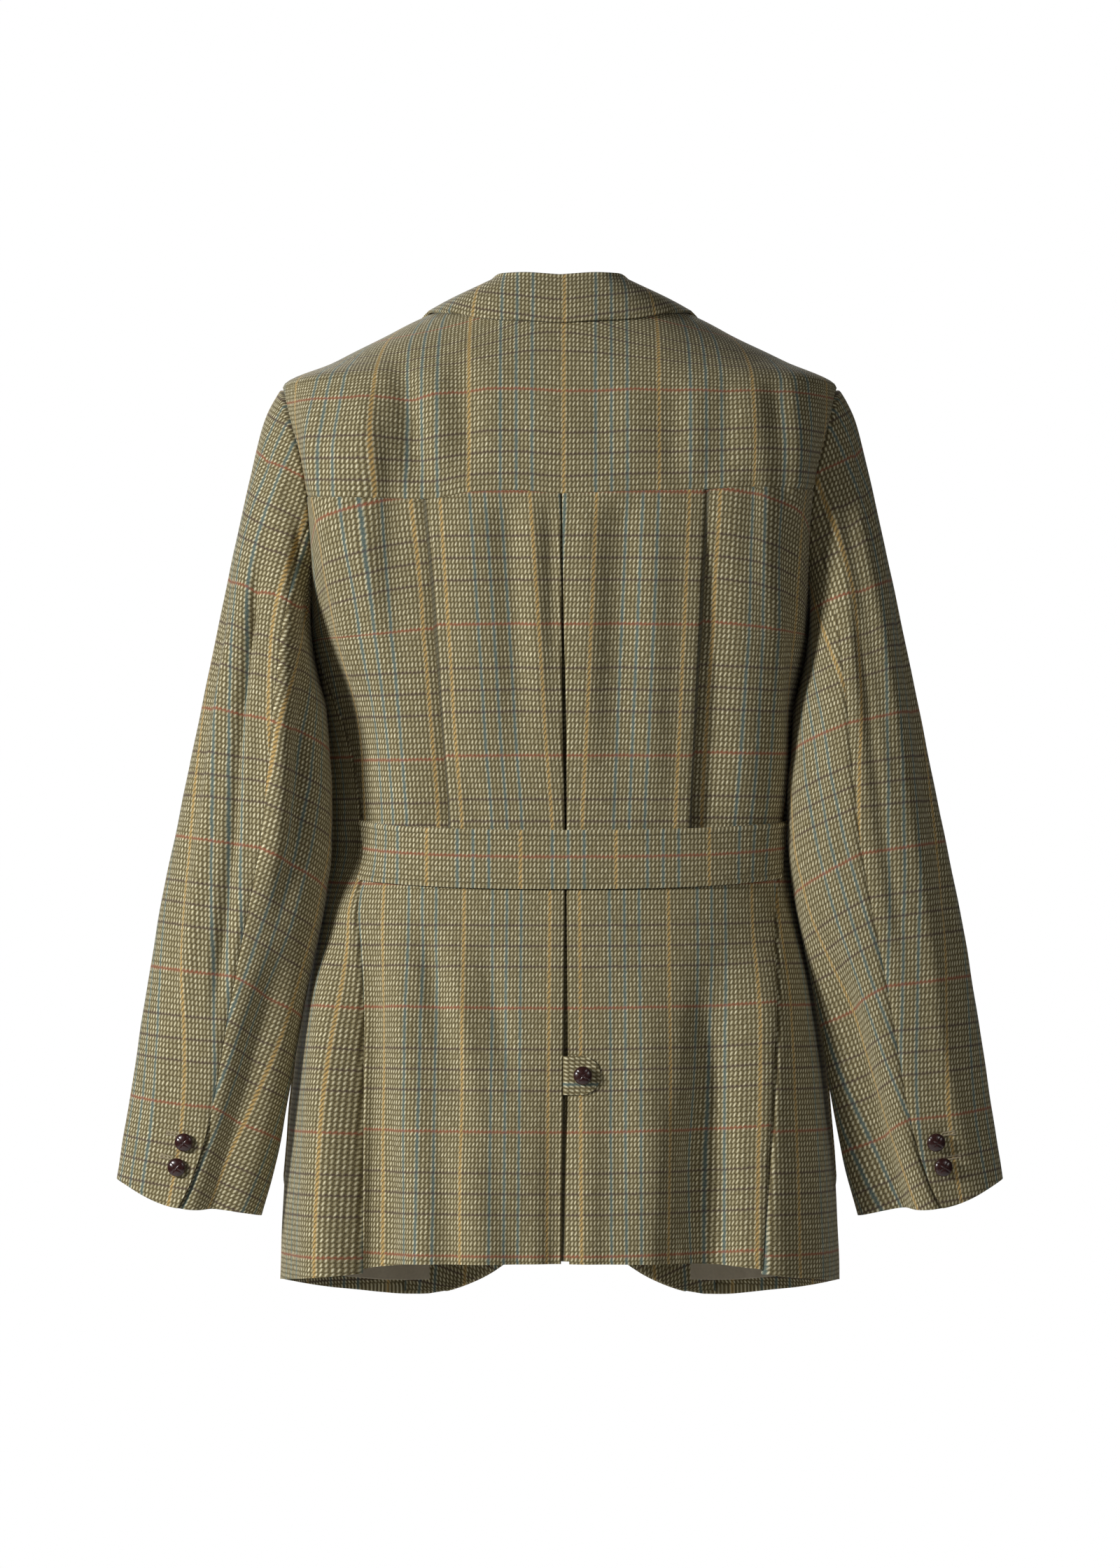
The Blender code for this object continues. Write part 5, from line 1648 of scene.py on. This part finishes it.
def add_bump(tree, shader, height, distance):
    bump = add_node(tree, "ShaderNodeBump")
    bump.inputs["Distance"].default_value = distance
    link_all(tree, (height, bump.inputs["Height"]), (bump.outputs[0], shader.inputs["Normal"]))


def tinted(colour, share=1.0):
    """A colour made darker or paler, with its alpha."""
    return (*[share * part for part in colour], 1.0)


def grained(tree, shader, place, scale, dark, pale):
    """Colours a shader unevenly between two colours; gives back the grain's mask."""
    grain = add_node(tree, "ShaderNodeGroup", node_tree=bpy.data.node_groups["uneven grain"])
    grain.inputs["Scale"].default_value = scale
    mask = grain.outputs["Mask"]
    link_all(
        tree,
        (place, grain.inputs["Place"]),
        (blend(tree, mask, dark, pale), shader.inputs["Base Color"]),
    )
    return mask


def tweed_material(colours):
    tree, shader = new_material(
        "tweed", Roughness=0.92, Specular_IOR_Level=0.15, Sheen_Weight=0.12, Sheen_Roughness=0.5)
    weave = add_node(tree, "ShaderNodeGroup", node_tree=tweed_group())
    cloth = add_node(tree, "ShaderNodeUVMap", uv_map="cloth")
    for name in TWEED_COLOURS:
        weave.inputs[name].default_value = tinted(getattr(colours, name))
    link_all(
        tree,
        (cloth.outputs[0], weave.inputs["Cloth"]),
        (weave.outputs["Colour"], shader.inputs["Base Color"]),
    )
    add_bump(tree, shader, weave.outputs["Height"], 0.00022)


def lining_material(colour):
    tree, shader = new_material("lining", Roughness=0.6, Sheen_Weight=0.1)
    cloth = add_node(tree, "ShaderNodeUVMap", uv_map="cloth").outputs[0]
    grained(tree, shader, cloth, 420.0, tinted(colour, 0.72), tinted(colour))
    threads = add_node(tree, "ShaderNodeTexWave", wave_type="BANDS", bands_direction="DIAGONAL")
    threads.inputs["Scale"].default_value = 900.0
    tree.links.new(cloth, threads.inputs["Vector"])
    add_bump(tree, shader, threads.outputs["Fac"], 0.00008)


def leather_material(colour):
    tree, shader = new_material("leather", Roughness=0.26, Coat_Weight=0.35, Coat_Roughness=0.15)
    place = add_node(tree, "ShaderNodeTexCoord").outputs["Object"]
    mask = grained(tree, shader, place, 700.0, tinted(colour, 0.35), tinted(colour, 1.5))
    tree.links.new(calculate(tree, "MULTIPLY_ADD", mask, 0.25, 0.16), shader.inputs["Roughness"])
    add_bump(tree, shader, mask, 0.00010)


def thread_material(name, colour):
    tree, shader = new_material(name, Roughness=0.75)
    place = add_node(tree, "ShaderNodeTexCoord").outputs["Object"]
    mask = grained(tree, shader, place, 2600.0, tinted(colour, 0.55), tinted(colour))
    add_bump(tree, shader, mask, 0.00010)


def make_materials():
    colours = bpy.context.scene.jacket_colours
    grain_group()
    tweed_material(colours)
    lining_material(colours.lining)
    leather_material(colours.leather)
    thread_material("topstitch thread", colours.thread)
    thread_material("buttonhole thread", colours.buttonhole)


def stitch_tree():
    """Stitches laid end to end along paths, and the identifiers of the tree's inputs."""
    tree = bpy.data.node_groups.new("stitches", "GeometryNodeTree")
    add_sockets(tree, "INPUT", "Geometry", "Path")
    sockets = add_sockets(tree, "INPUT", "Float", "Pitch", "Length", "Thickness")
    sockets.update(add_sockets(tree, "INPUT", "Material", "Thread"))
    add_sockets(tree, "OUTPUT", "Geometry", "Stitches")
    given = add_node(tree, "NodeGroupInput")
    result = add_node(tree, "NodeGroupOutput")
    curve = add_node(tree, "GeometryNodeMeshToCurve")
    even = add_node(tree, "GeometryNodeResampleCurve", mode="LENGTH")
    stitch = add_node(tree, "GeometryNodeMeshUVSphere")
    stitch.inputs["Segments"].default_value = 6
    stitch.inputs["Rings"].default_value = 4
    stitch.inputs["Radius"].default_value = 0.5
    size = add_node(tree, "ShaderNodeCombineXYZ")
    turn = add_node(tree, "FunctionNodeAlignRotationToVector", axis="Z")
    tangent = add_node(tree, "GeometryNodeInputTangent")
    laid = add_node(tree, "GeometryNodeInstanceOnPoints")
    real = add_node(tree, "GeometryNodeRealizeInstances")
    thread = add_node(tree, "GeometryNodeSetMaterial")
    smooth = add_node(tree, "GeometryNodeSetShadeSmooth")
    link_all(
        tree,
        (given.outputs["Path"], curve.inputs[0]),
        (curve.outputs[0], even.inputs["Curve"]),
        (given.outputs["Pitch"], even.inputs["Length"]),
        (given.outputs["Thickness"], size.inputs[0]),
        (given.outputs["Thickness"], size.inputs[1]),
        (given.outputs["Length"], size.inputs[2]),
        (tangent.outputs[0], turn.inputs["Vector"]),
        (even.outputs[0], laid.inputs["Points"]),
        (stitch.outputs["Mesh"], laid.inputs["Instance"]),
        (turn.outputs[0], laid.inputs["Rotation"]),
        (size.outputs[0], laid.inputs["Scale"]),
        (laid.outputs[0], real.inputs[0]),
        (real.outputs[0], smooth.inputs[0]),
        (smooth.outputs[0], thread.inputs["Geometry"]),
        (given.outputs["Thread"], thread.inputs["Material"]),
        (thread.outputs[0], result.inputs["Stitches"]),
    )
    return tree, sockets


def stitched_piece(name, lines, tree, values):
    """Turns paths into a plain mesh of stitches."""
    points = np.concatenate(lines)
    edges = []
    first = 0
    for line in lines:
        edges += [(i, i + 1) for i in range(first, first + len(line) - 1)]
        first += len(line)
    path = bpy.data.meshes.new(name + "_path")
    path.from_pydata(points.tolist(), edges, [])
    guide = new_object(name + "_path", path)
    maker = guide.modifiers.new("stitches", "NODES")
    maker.node_group = tree
    for identifier, value in values.items():
        maker[identifier] = value
    evaluated = guide.evaluated_get(bpy.context.evaluated_depsgraph_get())
    mesh = bpy.data.meshes.new_from_object(evaluated)
    mesh.name = name
    bpy.data.objects.remove(guide, do_unlink=True)
    piece = new_object(name, mesh)
    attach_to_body(piece, "root")


def sew_stitches():
    sizes = bpy.context.scene.jacket_sizes
    tree, sockets = stitch_tree()

    def stitch(name, lines, pitch, length, thickness, thread):
        values = {
            sockets["Pitch"]: pitch,
            sockets["Length"]: length,
            sockets["Thickness"]: thickness,
            sockets["Thread"]: bpy.data.materials[thread],
        }
        stitched_piece(name, lines, tree, values)

    top = (sizes.stitch_pitch, sizes.stitch_length, sizes.stitch_thickness)
    stitch("topstitching", STITCH_LINES, *top, "topstitch thread")
    bars = []
    for start, end in THREAD_BARS:
        across = np.cross(unit(end - start), (0.0, 1.0, 0.0))
        for i in range(BAR_STITCHES):
            middle = mix(start, end, i / (BAR_STITCHES - 1))
            wider = 1.5 if i >= BAR_STITCHES - BAR_WIDE_STITCHES else 1.0
            half = across * BAR_HALF_WIDTH * wider
            bars.append(np.array((middle - half, middle + half)))
    bar = (BAR_PITCH, BAR_STITCH_LENGTH, BAR_STITCH_THICKNESS)
    stitch("cuff_buttonholes", bars, *bar, "buttonhole thread")


def make_camera(scene):
    camera_data = bpy.data.cameras.new("camera")
    camera_data.sensor_width = CAMERA_SENSOR
    camera_data.lens = CAMERA_SENSOR * VIEW_DISTANCE / VIEW_WIDTH
    camera_data.clip_end = 100.0
    camera = new_object("camera", camera_data)
    camera.location = CAMERA_PLACE
    camera.rotation_euler = (math.pi / 2, 0.0, math.pi)
    scene.camera = camera


def make_lights(key_power):
    for row in named_rows(LIGHT_COLUMNS, LIGHTS):
        lamp = bpy.data.lights.new(row["name"], "AREA")
        lamp.shape = "DISK"
        lamp.size = row["size"]
        lamp.energy = row["share_of_key"] * key_power
        light = new_object(row["name"], lamp)
        light.location = row["place"]
        x, y, z = np.subtract(LIGHT_AIM, row["place"])
        light.rotation_euler = (math.atan2(math.hypot(x, y), -z), 0.0, math.atan2(-x, y))


def make_world(scene, ambient):
    scene.view_settings.view_transform = "Standard"
    world = bpy.data.worlds.new("studio")
    scene.world = world
    world.use_nodes = True
    tree = world.node_tree
    sky = tree.nodes["Background"]
    sky.inputs["Color"].default_value = (1.0, 1.0, 1.0, 1.0)
    seen = add_node(tree, "ShaderNodeLightPath").outputs["Is Camera Ray"]
    strength = calculate(tree, "MULTIPLY_ADD", seen, 1.0 - ambient, ambient)
    tree.links.new(strength, sky.inputs["Strength"])


def make_floor():
    mesh = bpy.data.meshes.new("floor")
    turns = np.linspace(0, 2 * math.pi, FLOOR_SIDES, endpoint=False)
    ring = stacked(FLOOR_RADIUS * np.cos(turns), FLOOR_RADIUS * np.sin(turns), FLOOR_Z)
    mesh.from_pydata(ring.tolist(), [], [tuple(range(FLOOR_SIDES))])
    new_material("pale floor", Roughness=0.8, Base_Color=(0.85, 0.85, 0.84, 1.0))
    mesh.materials.append(bpy.data.materials["pale floor"])
    new_object("floor", mesh)


def make_stage():
    """Camera, lights, world and a plain pale floor below the jacket."""
    scene = bpy.context.scene
    make_camera(scene)
    make_lights(scene.jacket_sizes.key_light)
    make_world(scene, scene.jacket_sizes.ambient)
    make_floor()


def sew_fronts():
    for side, name in SIDES:
        for piece in (sew_front, sew_lapel, sew_facing, sew_lining, sew_pocket):
            piece(side, name)


def sew_sleeves():
    for side, name in SIDES:
        for part in ("top", "under"):
            sew_sleeve(side, name, part)


def length_property(name, description, default):
    return bpy.props.FloatProperty(
        name=name, description=description, default=default, min=0.0, unit="LENGTH", precision=5)


def colour_property(name, description, default):
    return bpy.props.FloatVectorProperty(
        name=name, description=description, default=default, size=3, min=0.0, max=1.0, subtype="COLOR")


class JacketSizes(bpy.types.PropertyGroup):
    """Sizes of the cloth and its sewing."""

    cloth: length_property("Cloth", "Thickness of one layer of tweed", 0.0014)
    double_cloth: length_property("Double cloth", "Thickness of belt and collar", 0.0020)
    lining: length_property("Lining", "Thickness of the lining", 0.0008)
    seam_depth: length_property("Seam depth", "How far the cloth turns in at a seam", 0.0010)
    seam_reach: length_property("Seam reach", "How far from a seam the cloth turns in", 0.0026)
    topstitch: length_property("Topstitch", "Distance of the topstitching from an edge", 0.0046)
    stitch_pitch: length_property("Stitch pitch", "From one stitch to the next", 0.0031)
    stitch_length: length_property("Stitch length", "Length of a stitch", 0.0023)
    stitch_thickness: length_property("Thread", "Thickness of the thread", 0.00045)
    creases: bpy.props.FloatProperty(name="Creases", description="Strength of the creases", default=0.75)
    key_light: bpy.props.FloatProperty(
        name="Key light", description="Power of the main light", default=82.0, unit="POWER")
    ambient: bpy.props.FloatProperty(name="Ambient", description="Strength of the soft light", default=0.04)


class JacketColours(bpy.types.PropertyGroup):
    """Colours of the cloth, leather and thread."""

    cream: colour_property("Cream", "Pale marks of the tweed", (0.82, 0.76, 0.53))
    ground: colour_property("Ground", "Olive between the marks", (0.248, 0.207, 0.101))
    gap: colour_property("Gap", "Dark olive columns", (0.080, 0.061, 0.030))
    gold: colour_property("Gold", "Gold stripe", (0.62, 0.41, 0.15))
    gold_shade: colour_property("Gold shade", "Darker threads of the gold stripe", (0.21, 0.145, 0.055))
    teal: colour_property("Teal", "Teal stripes", (0.105, 0.175, 0.175))
    red: colour_property("Red", "Red line", (0.36, 0.095, 0.055))
    plum: colour_property("Plum", "Dark plum lines", (0.075, 0.042, 0.045))
    lining: colour_property("Lining", "Beige lining", (0.55, 0.47, 0.34))
    leather: colour_property("Leather", "Oxblood leather of the buttons", (0.034, 0.009, 0.008))
    thread: colour_property("Thread", "Olive topstitch thread", (0.26, 0.22, 0.11))
    buttonhole: colour_property("Buttonhole", "Beige buttonhole thread", (0.55, 0.46, 0.30))


class JacketStep:
    """What the jacket's operators share: each does its own tasks in order."""

    tasks = ()

    def execute(self, context):
        for task in self.tasks:
            task()
        return {"FINISHED"}


class JACKET_OT_stage(JacketStep, bpy.types.Operator):
    """Set up the camera, the lights and the floor"""

    bl_idname = "jacket.stage"
    bl_label = "Stage"
    tasks = (make_stage,)


class JACKET_OT_materials(JacketStep, bpy.types.Operator):
    """Make the tweed, lining, leather and thread"""

    bl_idname = "jacket.materials"
    bl_label = "Materials"
    tasks = (make_materials,)


class JACKET_OT_back(JacketStep, bpy.types.Operator):
    """Sew the yoke, the pleated back and the skirt with its vent"""

    bl_idname = "jacket.back"
    bl_label = "Back"
    tasks = (sew_yoke, sew_upper_back, sew_skirt)


class JACKET_OT_belt(JacketStep, bpy.types.Operator):
    """Sew the half belt and the vent tab"""

    bl_idname = "jacket.belt"
    bl_label = "Belt and tab"
    tasks = (sew_belt, sew_tab)


class JACKET_OT_collar(JacketStep, bpy.types.Operator):
    """Sew the turned-down collar"""

    bl_idname = "jacket.collar"
    bl_label = "Collar"
    tasks = (sew_collar,)


class JACKET_OT_fronts(JacketStep, bpy.types.Operator):
    """Sew the fronts with their lapels, facings, linings and pockets"""

    bl_idname = "jacket.fronts"
    bl_label = "Fronts"
    tasks = (sew_fronts,)


class JACKET_OT_sleeves(JacketStep, bpy.types.Operator):
    """Sew the top and under halves of both sleeves"""

    bl_idname = "jacket.sleeves"
    bl_label = "Sleeves"
    tasks = (sew_sleeves,)


class JACKET_OT_buttons(JacketStep, bpy.types.Operator):
    """Sew on the leather buttons"""

    bl_idname = "jacket.buttons"
    bl_label = "Buttons"
    tasks = (sew_buttons,)


class JACKET_OT_stitches(JacketStep, bpy.types.Operator):
    """Lay the topstitching and the buttonhole thread"""

    bl_idname = "jacket.stitches"
    bl_label = "Stitches"
    tasks = (sew_stitches,)


OPERATORS = (
    JACKET_OT_stage,
    JACKET_OT_materials,
    JACKET_OT_back,
    JACKET_OT_belt,
    JACKET_OT_collar,
    JACKET_OT_fronts,
    JACKET_OT_sleeves,
    JACKET_OT_buttons,
    JACKET_OT_stitches,
)


class JACKET_PT_panel(bpy.types.Panel):
    """Lists the steps of the jacket"""

    bl_idname = "JACKET_PT_panel"
    bl_label = "Hunting jacket"
    bl_space_type = "VIEW_3D"
    bl_region_type = "UI"
    bl_category = "Jacket"

    def draw(self, context):
        for operator in OPERATORS:
            self.layout.operator(operator.bl_idname)
        for group in (context.scene.jacket_sizes, context.scene.jacket_colours):
            for name in group.__annotations__:
                self.layout.prop(group, name)


CLASSES = (JacketSizes, JacketColours, *OPERATORS, JACKET_PT_panel)


def register():
    for made in CLASSES:
        bpy.utils.register_class(made)
    bpy.types.Scene.jacket_sizes = bpy.props.PointerProperty(type=JacketSizes)
    bpy.types.Scene.jacket_colours = bpy.props.PointerProperty(type=JacketColours)


def unregister():
    del bpy.types.Scene.jacket_colours
    del bpy.types.Scene.jacket_sizes
    for made in reversed(CLASSES):
        bpy.utils.unregister_class(made)


def main():
    register()
    bpy.ops.jacket.stage()
    bpy.ops.jacket.materials()
    bpy.ops.jacket.back()
    bpy.ops.jacket.belt()
    bpy.ops.jacket.collar()
    bpy.ops.jacket.fronts()
    bpy.ops.jacket.sleeves()
    bpy.ops.jacket.buttons()
    bpy.ops.jacket.stitches()


if __name__ == "__main__":
    main()
